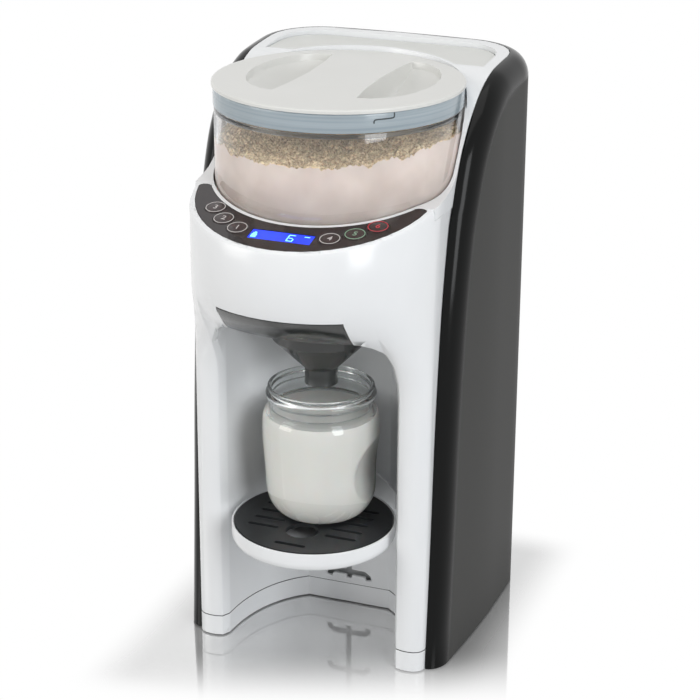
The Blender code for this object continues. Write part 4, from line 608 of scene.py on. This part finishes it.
# Buttons: six round caps moulded in dark acrylic, each with a printed ring and a plain number; the
# last on the right has a red ring and the one before it a green one.
# Dark acrylic, worn in patches of 4 mm
button_acrylic = two_tone(
    "dark_moulded_acrylic", 250.0, "#2a1c1d", "#392a2a", detail=3.0, Roughness=0.16, IOR=1.49
)


def print_ink(name, code):
    """Screen-printed ink, and the painted shade of the collar's slot: matt, and a little uneven
    where the mesh left it thinner.
    """
    thin_share = 0.75
    material, tree, shader, place = start_material(name, Roughness=0.5)
    ink = tone(code)
    faded = (*[thin_share * channel for channel in ink[:3]], 1.0)
    paint(tree, shader, noise(tree, place, 900.0), faded, ink)
    return material


def turned(profile, sides=128, axis=(0.0, 0.0)):
    """A closed (radius, height) outline turned about an upright axis: x = r sin a, y = -r cos a."""
    radius, height = np.array(profile, float).T[..., None]
    angle = np.linspace(0, 2 * math.pi, sides, endpoint=False)
    x, y = axis[0] + radius * np.sin(angle), axis[1] - radius * np.cos(angle)
    return np.stack([x, y, np.broadcast_to(height, x.shape)], -1), quads(len(radius), sides)


def softened(profile, reach, steps=4):
    """A closed outline whose corners off the axis become quadratic curves one reach long each way,
    or as much of it as the sides leave."""
    most = 0.45
    corner = np.array(profile, float)
    back, onward = np.roll(corner, 1, 0) - corner, np.roll(corner, -1, 0) - corner
    back_length, onward_length = (np.linalg.norm(side, axis=1) for side in (back, onward))
    used = np.minimum(reach, most * np.minimum(back_length, onward_length)) * (corner[:, 0] > 0)
    start = corner + back * (used / back_length)[:, None]
    end = corner + onward * (used / onward_length)[:, None]
    t = np.linspace(0, 1, steps + 1)[None, :, None]
    curve = (1 - t) ** 2 * start[:, None] + 2 * t * (1 - t) * corner[:, None] + t**2 * end[:, None]
    return curve.reshape(-1, 2)


def number_mesh(text, height, thickness):
    """A plain number as a mesh, from the built-in face, centred on its own middle."""
    letters = bpy.data.curves.new("number", "FONT")
    letters.body = text
    letters.size = height
    letters.extrude = thickness / 2
    letters.align_x = "CENTER"
    letters.align_y = "CENTER"
    holder = bpy.data.objects.new("number", letters)
    bpy.context.scene.collection.objects.link(holder)
    bpy.context.view_layer.update()
    evaluated = holder.evaluated_get(bpy.context.evaluated_depsgraph_get())
    mesh = bpy.data.meshes.new_from_object(evaluated)
    bpy.data.objects.remove(holder)
    return mesh


pale_ink = print_ink("pale_ink", "#dedad8")
green_ink = print_ink("green_ink", "#9dc4a6")
red_ink = print_ink("red_ink", "#e0404c")
ink_of = {"button_right_2": green_ink, "button_right_3": red_ink}
cap_edge, cap_fall, cap_thickness, stem = 0.0006, 0.00015, 0.0020, 0.0025
ring_outer, ring_width, ring_lift, ring_sink = 0.0061, 0.00045, 0.00005, 0.00015
number_height = 0.0062
button_sides = 72
button_nodes = [f"button_{side}_{number}" for side in ("left", "right") for number in (1, 2, 3)]
for count, node in enumerate(button_nodes, 1):
    low, high = on_panel_plane(node)
    centre, radius = (low + high) / 2, (high[0] - low[0]) / 2
    top = high[2]
    cap_foot = top - cap_thickness
    cap = [
        (0, top),
        (radius, top - cap_fall),
        (radius, cap_foot),
        (stem, cap_foot),
        (stem, low[2]),
        (0, low[2]),
    ]
    points, faces = turned(softened(cap, cap_edge), button_sides, centre[:2])
    looks = (button_acrylic, "button_dark", body_of[node], [node])
    new_piece(f"{node}_cap", from_panel(points), faces, *looks)
    ink = ink_of.get(node, pale_ink)
    ring = bar(ring_outer, ring_outer - ring_width, top + ring_lift - ring_sink, top + ring_lift)
    points, faces = turned([ring[0], ring[3], ring[2], ring[1]], button_sides, centre[:2])
    new_piece(f"{node}_ring", from_panel(points), faces, ink, "button_dark", body_of[node])
    number = number_mesh(str(count), number_height, ring_lift * 2)
    flat = np.array([corner.co for corner in number.vertices]) + (*centre[:2], top + ring_lift / 2)
    number.vertices.foreach_set("co", from_panel(flat).astype(np.float32).ravel())
    number.update()
    finish_piece(f"{node}_number", number, ink, "button_dark", body_of[node])

# Powder container: clear SAN, injection moulded and polished, stepped in where it enters the head.
# The powder fills it up to a rough, slightly sloping top.
# Clear SAN, rippled over 17 mm where the melt cooled
clear_san, tree, shader, place = start_material(
    "clear_san", Base_Color=tone("#f4f5f6"), Roughness=0.02, IOR=1.57, Transmission_Weight=1.0
)
relief(tree, shader, noise(tree, place, 60.0, 1.0), 0.05, 0.0003)

container_low, container_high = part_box("container_body")
lid_axis = (0.0, (container_low.y + container_high.y) / 2)
collar_low, collar_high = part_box("lid_collar")
container_radius = container_high.x
waist_radius, container_wall, step_z, step = 0.0725, 0.002, 0.2965, 0.0015
container_bottom, neck_top = container_low.z, container_high.z
collar_wall, clearance = 0.0022, 0.0003
neck_radius = collar_high.x - collar_wall - clearance
lip_inside, lip_top, corner_round, turned_sides = 0.0675, 0.2639, 0.0006, 160
container_profile = [
    (lip_inside, lip_top),
    (lip_inside, container_bottom),
    (waist_radius, container_bottom),
    (waist_radius, step_z),
    (container_radius, step_z + step),
    (container_radius, collar_low.z - clearance),
    (neck_radius, collar_low.z - clearance),
    (neck_radius, neck_top),
    (neck_radius - container_wall, neck_top),
    (neck_radius - container_wall, collar_low.z - step),
    (container_radius - container_wall, collar_low.z - step - container_wall),
    (container_radius - container_wall, step_z + step + container_wall / 2),
    (waist_radius - container_wall, step_z + container_wall / 2),
    (waist_radius - container_wall, lip_top),
]
points, faces = turned(softened(container_profile, corner_round), turned_sides, lid_axis)
looks = (clear_san, "clear_plastic", "container", ["container_body"])
walls = new_piece("container_walls", points, faces, *looks)
# Light passes the clear walls to the powder
walls.visible_shadow = False

wetting = 0.0002
powder_low, powder_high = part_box("powder_fill")
powder_radius = container_radius - container_wall + wetting
powder_waist = waist_radius - container_wall + wetting
powder_level, powder_rise = 0.3334, 0.0084
powder_edge = 0.0006


def powder_top(x, y):
    """Height of the powder: level in front and at the left, heaped at the right and rear, with
    mounds 20 mm across, hollows of 9 mm and crumbs of 1 to 4 mm, all sums of sines that cross."""
    lean = (0.85 * x + 0.5 * y) / powder_radius
    height = powder_level + powder_rise * np.clip((lean + 0.1) / 0.75, 0, 1)
    waves = ((310, 0.0008), (700, 0.0005), (1500, 0.00034), (2700, 0.00034), (4400, 0.00024))
    for order, (pitch, size) in enumerate(waves):
        for turn in range(5):
            angle = 0.7 + 1.9 * order + 1.2566 * turn
            across = x * math.cos(angle) + y * math.sin(angle)
            height = height + 0.55 * size * np.sin(pitch * across + 2.1 * order + 4.7 * turn)
    return np.minimum(height, powder_high.z + powder_edge)


rim_count, ring_count, ring_crowding = 460, 170, 0.8
angle = np.linspace(0, 2 * math.pi, rim_count, endpoint=False)
reach = powder_radius * np.linspace(0, 1, ring_count)[:, None] ** ring_crowding
top_x, top_y = reach * np.sin(angle), -reach * np.cos(angle)
top = np.stack([top_x, top_y + lid_axis[1], powder_top(top_x, top_y)], -1)
rows = [top, top[-1:] - (0, 0, powder_edge)]
for radius, height in (
    (powder_radius, powder_level - 0.004),
    (powder_radius, step_z + step + 0.001),
    (powder_waist, step_z + 0.001),
    (powder_waist, powder_low.z),
    (0.0, powder_low.z),
):
    across, back = radius * np.sin(angle), lid_axis[1] - radius * np.cos(angle)
    rows.append(np.stack([across, back, np.full_like(angle, height)], -1)[None])
powder_points = np.concatenate(rows)
powder, tree, shader, place = start_material(
    "milk_powder", Roughness=0.95, Subsurface_Weight=0.1, Subsurface_Scale=0.001
)
# Agglomerated grains of 0.3 mm, drawn at 1.6 mm so that they show: cream grains over dark tan
# hollows, whose dark tan is partly the powder's own tan and partly painted shade between grains
grains_and_gap_shade = add_node(tree, "ShaderNodeValToRGB", {"Fac": noise(tree, place, 620.0, 4.0, 0.65)})
grains_and_gap_shade.color_ramp.elements[0].position = 0.3
grains_and_gap_shade.color_ramp.elements[0].color = tone("#6f4a26")
grains_and_gap_shade.color_ramp.elements[1].position = 0.66
grains_and_gap_shade.color_ramp.elements[1].color = tone("#f3ddb6")
# The powder packed against the wall is smooth and pinkish, in clouds 18 mm across
clouds = blend(tree, noise(tree, place, 55.0), tone("#baaca4"), tone("#dfd4cd"))
normal = add_node(tree, "ShaderNodeNewGeometry").outputs["Normal"]
facing = add_node(tree, "ShaderNodeSeparateXYZ", {"Vector": normal})
loose = add_node(
    tree, "ShaderNodeMapRange", {"Value": facing.outputs["Z"], "From Min": 0.1, "From Max": 0.35}
)
paint(tree, shader, loose.outputs["Result"], clouds, grains_and_gap_shade.outputs["Color"])
faces = quads(len(powder_points), rim_count, closed_rows=False)
crumb_degrees = 80
looks = (powder, "powder_tan", "container", ["powder_fill"], crumb_degrees)
new_piece("powder", powder_points, faces, *looks)

# Satin polypropylene, with flow marks of 25 mm
pp_white = two_tone("satin_polypropylene", 40.0, "#dcdede", "#e6e7e7", Roughness=0.4, IOR=1.49)
dress(pp_white, "container_floor", "container_base", "container_cradle")
dress(pp_white, "powder_chute", "water_spout", "tank_valve")

# Natural acetal, clouded over 11 mm
acetal = two_tone("natural_acetal", 90.0, "#dedbcf", "#e6e3d8", Roughness=0.35, IOR=1.48)
dress(acetal, "metering_wheel", "stirrer", "motor_pinion")

# Collar, gasket and lid: the collar is translucent grey-blue with a bayonet slot drawn as painted
# shade, the gasket is silicone, and the lid is white ABS with two half-moon finger recesses.
collar_plastic, tree, shader, place = start_material(
    "translucent_grey_san", Roughness=0.15, IOR=1.57, Transmission_Weight=0.3
)
# Turning marks of the mould run round the ring, about 1 mm apart
marks = {0: place, 1: (6.0, 6.0, 900.0)}
drawn_out = add_node(tree, "ShaderNodeVectorMath", marks, operation="MULTIPLY").outputs[0]
turning = noise(tree, drawn_out, 1.0)
paint(tree, shader, turning, tone("#93a4ae"), tone("#cfdbe2"))
relief(tree, shader, turning, 0.3, 0.0002)
collar_profile = [
    (collar_high.x, collar_low.z),
    (collar_high.x, collar_high.z),
    (collar_high.x - collar_wall, collar_high.z),
    (collar_high.x - collar_wall, collar_low.z),
]
points, faces = turned(softened(collar_profile, corner_round), turned_sides, lid_axis)
looks = (collar_plastic, "collar_grey", "collar", ["lid_collar"])
new_piece("collar_ring", points, faces, *looks)


def ribbon(path, width, radius, thickness):
    """A raised line on a cylinder: a path of (angle, height) widened to each side, with an outer
    and an inner face joined round its rim."""
    line = np.array(path, float) * (radius, 1)
    along = np.gradient(line, axis=0)
    along /= np.linalg.norm(along, axis=1)[:, None]
    aside = np.stack([-along[:, 1], along[:, 0]], 1) * width / 2
    ring = np.stack([line + aside, line - aside, line - aside, line + aside], 1)
    depth = radius + thickness * np.array([1, 1, -1, -1])
    angle, height = ring[..., 0] / radius, ring[..., 1]
    points = np.stack([depth * np.sin(angle), lid_axis[1] - depth * np.cos(angle), height], -1)
    ends = 4 * (len(line) - 1) + np.arange(4)
    faces = [quads(len(line), 4, closed_rows=False), [[0, 1, 2, 3], ends[::-1]]]
    return points, np.concatenate(faces)


# The collar's bayonet slot is a dark strip laid on the ring: painted shade where the slot is in
# shadow
slot_shadow = print_ink("slot_shadow", "#323c40")
slot_turns = (
    (46.0, 0.3662), (46.0, 0.3640), (45.2, 0.3631), (41.0, 0.3629), (37.6, 0.3628),
    (36.7, 0.3620), (36.6, 0.3606),
)
slot_width, slot_lift, slot_steps = 0.0009, 0.00004, 6
slot_path = smooth_line([(math.radians(turn), height) for turn, height in slot_turns], slot_steps)
points, faces = ribbon(slot_path, slot_width, collar_high.x, slot_lift)
new_piece("collar_slot_shade", points, faces, slot_shadow, "collar_grey", "collar")

# Milky silicone, with a haze of 8 mm
silicone = two_tone(
    "milky_silicone", 120.0, "#c8cbcc", "#d6d9da",
    Roughness=0.45, IOR=1.41, Subsurface_Weight=0.3, Subsurface_Scale=0.003,
)
dress(silicone, "lid_gasket", "suction_tube", "pressure_tube", "hot_tube")

# White ABS from a finely grained tool, drifting over 40 mm
lid_abs = two_tone("satin_white_abs", 25.0, "#dadad6", "#e1e1de", Roughness=0.3, IOR=1.53)
rounded_copy("container_lid", lid_abs, "white_gloss", 0.0005)

# Funnel and chin cover: smoke-grey SAN, see-through in thin places, in one unit that slides out
# forwards for washing.
# Smoke SAN, whose tint follows the flow of the melt over 22 mm
smoke = two_tone(
    "smoke_san", 45.0, "#393b3a", "#444645", Roughness=0.16, IOR=1.57, Transmission_Weight=0.45
)
rounded_copy("funnel", smoke, "smoke_grey", 0.0004)
rounded_copy("funnel_cover", smoke, "smoke_grey", 0.0004)

# Bottle stand: a white ABS dish and its hooked bracket, with a slotted grate in black polypropylene
# that lies in the dish and catches drips.
dish_low, dish_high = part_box("stand_dish")
dish_axis = (0.0, (dish_low.y + dish_high.y) / 2)
dish_radius, dish_wall, dish_shoulder = dish_high.x, 0.0025, 0.006
grate_low, grate_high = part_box("drip_grate")
dish_inside, grate_ledge = grate_high.x + 2 * clearance, 0.0015
dish_profile = [
    (0, dish_low.z + dish_wall),
    (dish_inside - grate_ledge - dish_shoulder, dish_low.z + dish_wall),
    (dish_inside - grate_ledge, dish_low.z + dish_wall + dish_shoulder / 1.5),
    (dish_inside - grate_ledge, grate_low.z - clearance),
    (dish_inside, grate_low.z - clearance),
    (dish_inside, dish_high.z),
    (dish_radius, dish_high.z),
    (dish_radius, dish_low.z + dish_shoulder),
    (dish_radius - dish_shoulder / 4, dish_low.z + dish_shoulder / 2),
    (dish_radius - dish_shoulder, dish_low.z + dish_shoulder / 8),
    (dish_radius - 2 * dish_shoulder, dish_low.z),
    (0, dish_low.z),
]
dish_round, dish_degrees = 0.0015, 50
points, faces = turned(softened(dish_profile, dish_round), turned_sides, dish_axis)
looks = (white_abs, "white_gloss", "bottle_stand", ["stand_dish"], dish_degrees)
new_piece("dish_moulding", points, faces, *looks)
rounded_copy("stand_bracket", white_abs, "white_gloss", 0.0006)

# Black polypropylene, grained at 1 mm, duller where the grain stands up
grate_pp, tree, shader, place = start_material("black_polypropylene", IOR=1.49)
grain = noise(tree, place, 900.0)
paint(tree, shader, grain, tone("#222426"), tone("#2a2c2e"))
tree.links.new(spread(tree, grain, 0.32, 0.5), shader.inputs["Roughness"])
rounded_copy("drip_grate", grate_pp, "grate_black", 0.0003)

# Bottle: a blown glass jar with a beaded rim, and the milk that wets its inner wall.
# Soda-lime glass, with the waves of 22 mm that blowing leaves
glass, tree, shader, place = start_material(
    "soda_lime_glass", Base_Color=tone("#f0f3f3"), Roughness=0.0, IOR=1.5, Transmission_Weight=1.0
)
relief(tree, shader, noise(tree, place, 45.0, 1.0), 0.06, 0.0005)

bottle_low, bottle_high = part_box("bottle_glass")
bottle_axis = (0.0, (bottle_low.y + bottle_high.y) / 2)
bottle_radius, bottle_height = bottle_high.x, bottle_high.z - bottle_low.z
neck, rim, bead, glass_wall = 0.0325, 0.0340, 0.0352, 0.0025
body_shares = (
    (0.50, 0.0), (0.70, 0.025), (0.84, 0.085), (0.92, 0.17), (0.955, 0.30), (0.985, 0.50),
    (1.0, 0.66), (0.99, 0.76), (0.955, 0.805),
)
body_knots = np.array(body_shares) * (bottle_radius, bottle_height) + (0, bottle_low.z)
body_steps = 14
body_line = smooth_line(body_knots, body_steps)
neck_share, bead_share, bead_half, bead_round = 0.835, 0.935, 0.003, 0.0012
neck_z, bead_z = (bottle_low.z + share * bottle_height for share in (neck_share, bead_share))
rim_line = softened(
    [
        (neck, neck_z),
        (neck, bead_z - bead_half),
        (bead, bead_z - bead_half / 2),
        (bead, bead_z + bead_half / 2),
        (neck, bead_z + bead_half),
        (rim, bottle_high.z - clearance),
        (rim - glass_wall / 2, bottle_high.z),
        (rim - glass_wall, bottle_high.z - clearance),
        (neck - glass_wall, neck_z),
    ],
    bead_round,
)
inner_line = np.maximum(body_line[::-1] - (glass_wall, 0), (0, bottle_low.z + glass_wall))
axis_low, axis_high = [[0, bottle_low.z]], [[0, bottle_low.z + glass_wall]]
bottle_profile = np.vstack([axis_low, body_line, rim_line, inner_line, axis_high])
grip_half_angle, grip_depth = math.radians(33), 0.0055
grip_z, grip_half_height = 0.1262, 0.0215
grip_power, grip_core, grip_core_edge = 0.8, 0.022, 0.008
jar_sides, jar_degrees = 240, 60


def gripped(points):
    """Draws the wall in at the jar's two sides: a dished oval whose depth is a power of one less
    the squared angle and height, each as a share of the oval's half size. The core stays."""
    x, y, z = points[..., 0], points[..., 1] - bottle_axis[1], points[..., 2]
    radius = np.hypot(x, y)
    aside = np.arctan2(abs(y), abs(x)) / grip_half_angle
    oval = np.clip(1 - aside**2 - ((z - grip_z) / grip_half_height) ** 2, 0, 1)
    outer = np.clip((radius - grip_core) / grip_core_edge, 0, 1)
    drawn = grip_depth * oval**grip_power * outer
    share = 1 - drawn / np.maximum(radius, 0.001)
    return np.stack([x * share, y * share + bottle_axis[1], z], -1)


points, faces = turned(bottle_profile, jar_sides, bottle_axis)
looks = (glass, "clear_glass", "bottle", ["bottle_glass"], jar_degrees)
jar = new_piece("jar", gripped(points), faces, *looks)
# Light passes the glass to the milk
jar.visible_shadow = False

milk_level = 0.1605
milk_wall = inner_line[inner_line[:, 1] < milk_level - 0.001][::-1] + (wetting, 0)
milk_edge = np.interp(milk_level, inner_line[::-1, 1], inner_line[::-1, 0])
milk_profile = np.vstack(
    [
        [[0, milk_level]],
        [[milk_edge - 0.002, milk_level], [milk_edge, milk_level + 0.0006]],
        milk_wall[::-1],
        [[0, bottle_low.z + glass_wall - wetting]],
    ]
)
# Mixed formula, with faint swirls of 29 mm
milk = two_tone(
    "formula_milk", 35.0, "#c8c7c2", "#d2d0cc", detail=1.0,
    Roughness=0.25, IOR=1.35, Subsurface_Weight=0.15, Subsurface_Scale=0.003,
)
points, faces = turned(milk_profile, jar_sides, bottle_axis)
looks = (milk, "clear_glass", "bottle", (), jar_degrees)
new_piece("milk", gripped(points), faces, *looks)

# Works inside: tank and its seat, pump, boards, chassis and mains inlet, in the plain moulded,
# sheet and laminate finishes of such parts.
dress(clear_san, "water_tank")
# Matt grey ABS, grained at 2.5 mm
works_abs = two_tone("matt_grey_abs", 400.0, "#b4b6b7", "#c0c2c3", Roughness=0.55, IOR=1.53)
dress(works_abs, "chassis", "tank_seat", "water_pump")

# Green laminate, with copper tracks under the resist, drawn as rows of bricks 0.8 mm high
laminate, tree, shader, place = start_material("green_glass_laminate", Roughness=0.4)
resist = {"Color1": tone("#1c5c3a"), "Color2": tone("#21663f"), "Mortar": tone("#2f7a4b")}
tracks = add_node(tree, "ShaderNodeTexBrick", {"Vector": place, "Scale": 300.0, **resist})
tree.links.new(tracks.outputs["Color"], shader.inputs["Base Color"])
dress(laminate, "control_board", "main_board")
dress(panel_black, "power_inlet")

# Floor and light: a white sweep that mirrors the machine near its foot, a large soft light at each
# side in front, a weaker one above, and a white backdrop behind.
floor_half = 3.0
floor_corners = np.array([(-1, -1, 0), (1, -1, 0), (1, 1, 0), (-1, 1, 0)]) * floor_half
floor_mesh = bpy.data.meshes.new("floor")
floor_mesh.from_pydata(floor_corners.tolist(), [], [[0, 1, 2, 3]])
floor = bpy.data.objects.new("floor", floor_mesh)
bpy.context.scene.collection.objects.link(floor)


def background_rays(tree):
    """One for a ray from the camera, a reflection or a clear wall, which see a white backdrop."""
    path = add_node(tree, "ShaderNodeLightPath").outputs
    either = path["Is Camera Ray"]
    for kind in ("Is Glossy Ray", "Is Transmission Ray"):
        larger = add_node(tree, "ShaderNodeMath", {0: either, 1: path[kind]}, operation="MAXIMUM")
        either = larger.outputs[0]
    return either


def fade_out(tree, value, start, end):
    """One up to a start, falling smoothly to nothing at an end."""
    sockets = {"Value": value, "From Min": start, "From Max": end, "To Min": 1.0, "To Max": 0.0}
    faded = add_node(tree, "ShaderNodeMapRange", sockets, interpolation_type="SMOOTHSTEP")
    return faded.outputs["Result"]


sweep = bpy.data.materials.new("white_sweep")
sweep.use_nodes = True
tree = sweep.node_tree
tree.nodes.clear()
white = add_node(tree, "ShaderNodeEmission", {"Color": (1, 1, 1, 1), "Strength": 1.0})
matt = add_node(tree, "ShaderNodeBsdfDiffuse", {"Color": tone("#cccccc")})
mirror = add_node(tree, "ShaderNodeBsdfGlossy", {"Color": (1, 1, 1, 1), "Roughness": 0.05})
# The sweep is polished under the machine and as far as 125 mm in front of it; the machine's shadow
# shows on it to 40 mm at each side and behind
place = add_node(tree, "ShaderNodeTexCoord").outputs["Object"]
to_camera = (0.355, -0.935, 0)
forward = add_node(tree, "ShaderNodeVectorMath", {0: place, 1: to_camera}, operation="DOT_PRODUCT")
front = fade_out(tree, forward.outputs["Value"], 0.05, 0.125)
folded = add_node(tree, "ShaderNodeVectorMath", {0: place}, operation="ABSOLUTE")
sides = add_node(tree, "ShaderNodeSeparateXYZ", {"Vector": folded.outputs[0]})
beside = fade_out(tree, sides.outputs["X"], 0.09, 0.13)
behind = fade_out(tree, sides.outputs["Y"], 0.125, 0.165)
level = add_node(tree, "ShaderNodeMath", {0: front, 1: beside}, operation="MULTIPLY")
level = add_node(tree, "ShaderNodeMath", {0: level.outputs[0], 1: behind}, operation="MULTIPLY")
layers = {0: level.outputs[0], 1: white.outputs[0], 2: matt.outputs[0]}
ground = add_node(tree, "ShaderNodeMixShader", layers)
shine = add_node(tree, "ShaderNodeMath", {0: front, 1: 0.55}, operation="MULTIPLY")
layers = {0: shine.outputs[0], 1: ground.outputs[0], 2: mirror.outputs[0]}
seen = add_node(tree, "ShaderNodeMixShader", layers)
layers = {0: background_rays(tree), 1: matt.outputs[0], 2: seen.outputs[0]}
mixed = add_node(tree, "ShaderNodeMixShader", layers)
add_node(tree, "ShaderNodeOutputMaterial", {"Surface": mixed.outputs[0]})
floor_mesh.materials.append(sweep)

world = bpy.data.worlds.new("studio")
bpy.context.scene.world = world
world.use_nodes = True
tree = world.node_tree
tree.nodes.clear()
backdrop = add_node(tree, "ShaderNodeBackground", {"Color": (1, 1, 1, 1), "Strength": 1.0})
room = add_node(tree, "ShaderNodeBackground", {"Color": tone("#f3f3f3"), "Strength": 0.45})
layers = {0: background_rays(tree), 1: room.outputs[0], 2: backdrop.outputs[0]}
mixed = add_node(tree, "ShaderNodeMixShader", layers)
add_node(tree, "ShaderNodeOutputWorld", {"Surface": mixed.outputs[0]})


def stand_object(name, data, right, up, back, place):
    """A lamp or camera object at a place, with its own x, y and z along three directions."""
    holder = bpy.data.objects.new(name, data)
    bpy.context.scene.collection.objects.link(holder)
    matrix = np.eye(4)
    matrix[:3] = np.stack([right, up, back, place], 1)
    holder.matrix_world = Matrix(matrix.tolist())
    return holder


def softbox(name, place, aim, width, height, power, colour):
    """A rectangular area lamp that faces a point."""
    lamp = bpy.data.lights.new(name, "AREA")
    lamp.color = colour
    lamp.shape = "RECTANGLE"
    lamp.size, lamp.size_y, lamp.energy = width, height, power
    place, aim = np.array(place, float), np.array(aim, float)
    back = (place - aim) / np.linalg.norm(place - aim)
    right = np.cross((0, 0, 1), back)
    right /= np.linalg.norm(right)
    stand_object(name, lamp, right, np.cross(back, right), back, place)


machine_middle = (0, 0, 0.2)
softbox("left_box", (-1.2, -1.0, 0.75), machine_middle, 0.8, 1.3, 10.5, (1.0, 0.985, 0.96))
softbox("right_box", (1.3, -0.95, 0.7), machine_middle, 0.6, 1.3, 13.5, (0.96, 0.98, 1.0))
softbox("top_box", (0.1, -0.1, 1.5), machine_middle, 1.2, 1.0, 4.2, (1.0, 0.995, 0.98))

# Camera: the photograph's viewpoint, fitted to the machine's edges.
azimuth, elevation, roll = math.radians(20.81), math.radians(21.04), math.radians(0.30)
level_reach = math.cos(elevation)
back = np.array(
    [math.sin(azimuth) * level_reach, -math.cos(azimuth) * level_reach, math.sin(elevation)]
)
right = np.array([math.cos(azimuth), math.sin(azimuth), 0.0])
up = np.cross(back, right)
turned_right = math.cos(roll) * right + math.sin(roll) * up
turned_up = -math.sin(roll) * right + math.cos(roll) * up
lens = bpy.data.cameras.new("camera")
lens.lens, lens.sensor_width = 108.7, 36.0
eye = (0.45519, -1.18547, 0.67695)
bpy.context.scene.camera = stand_object("camera", lens, turned_right, turned_up, back, eye)
bpy.context.scene.view_settings.view_transform = "Standard"
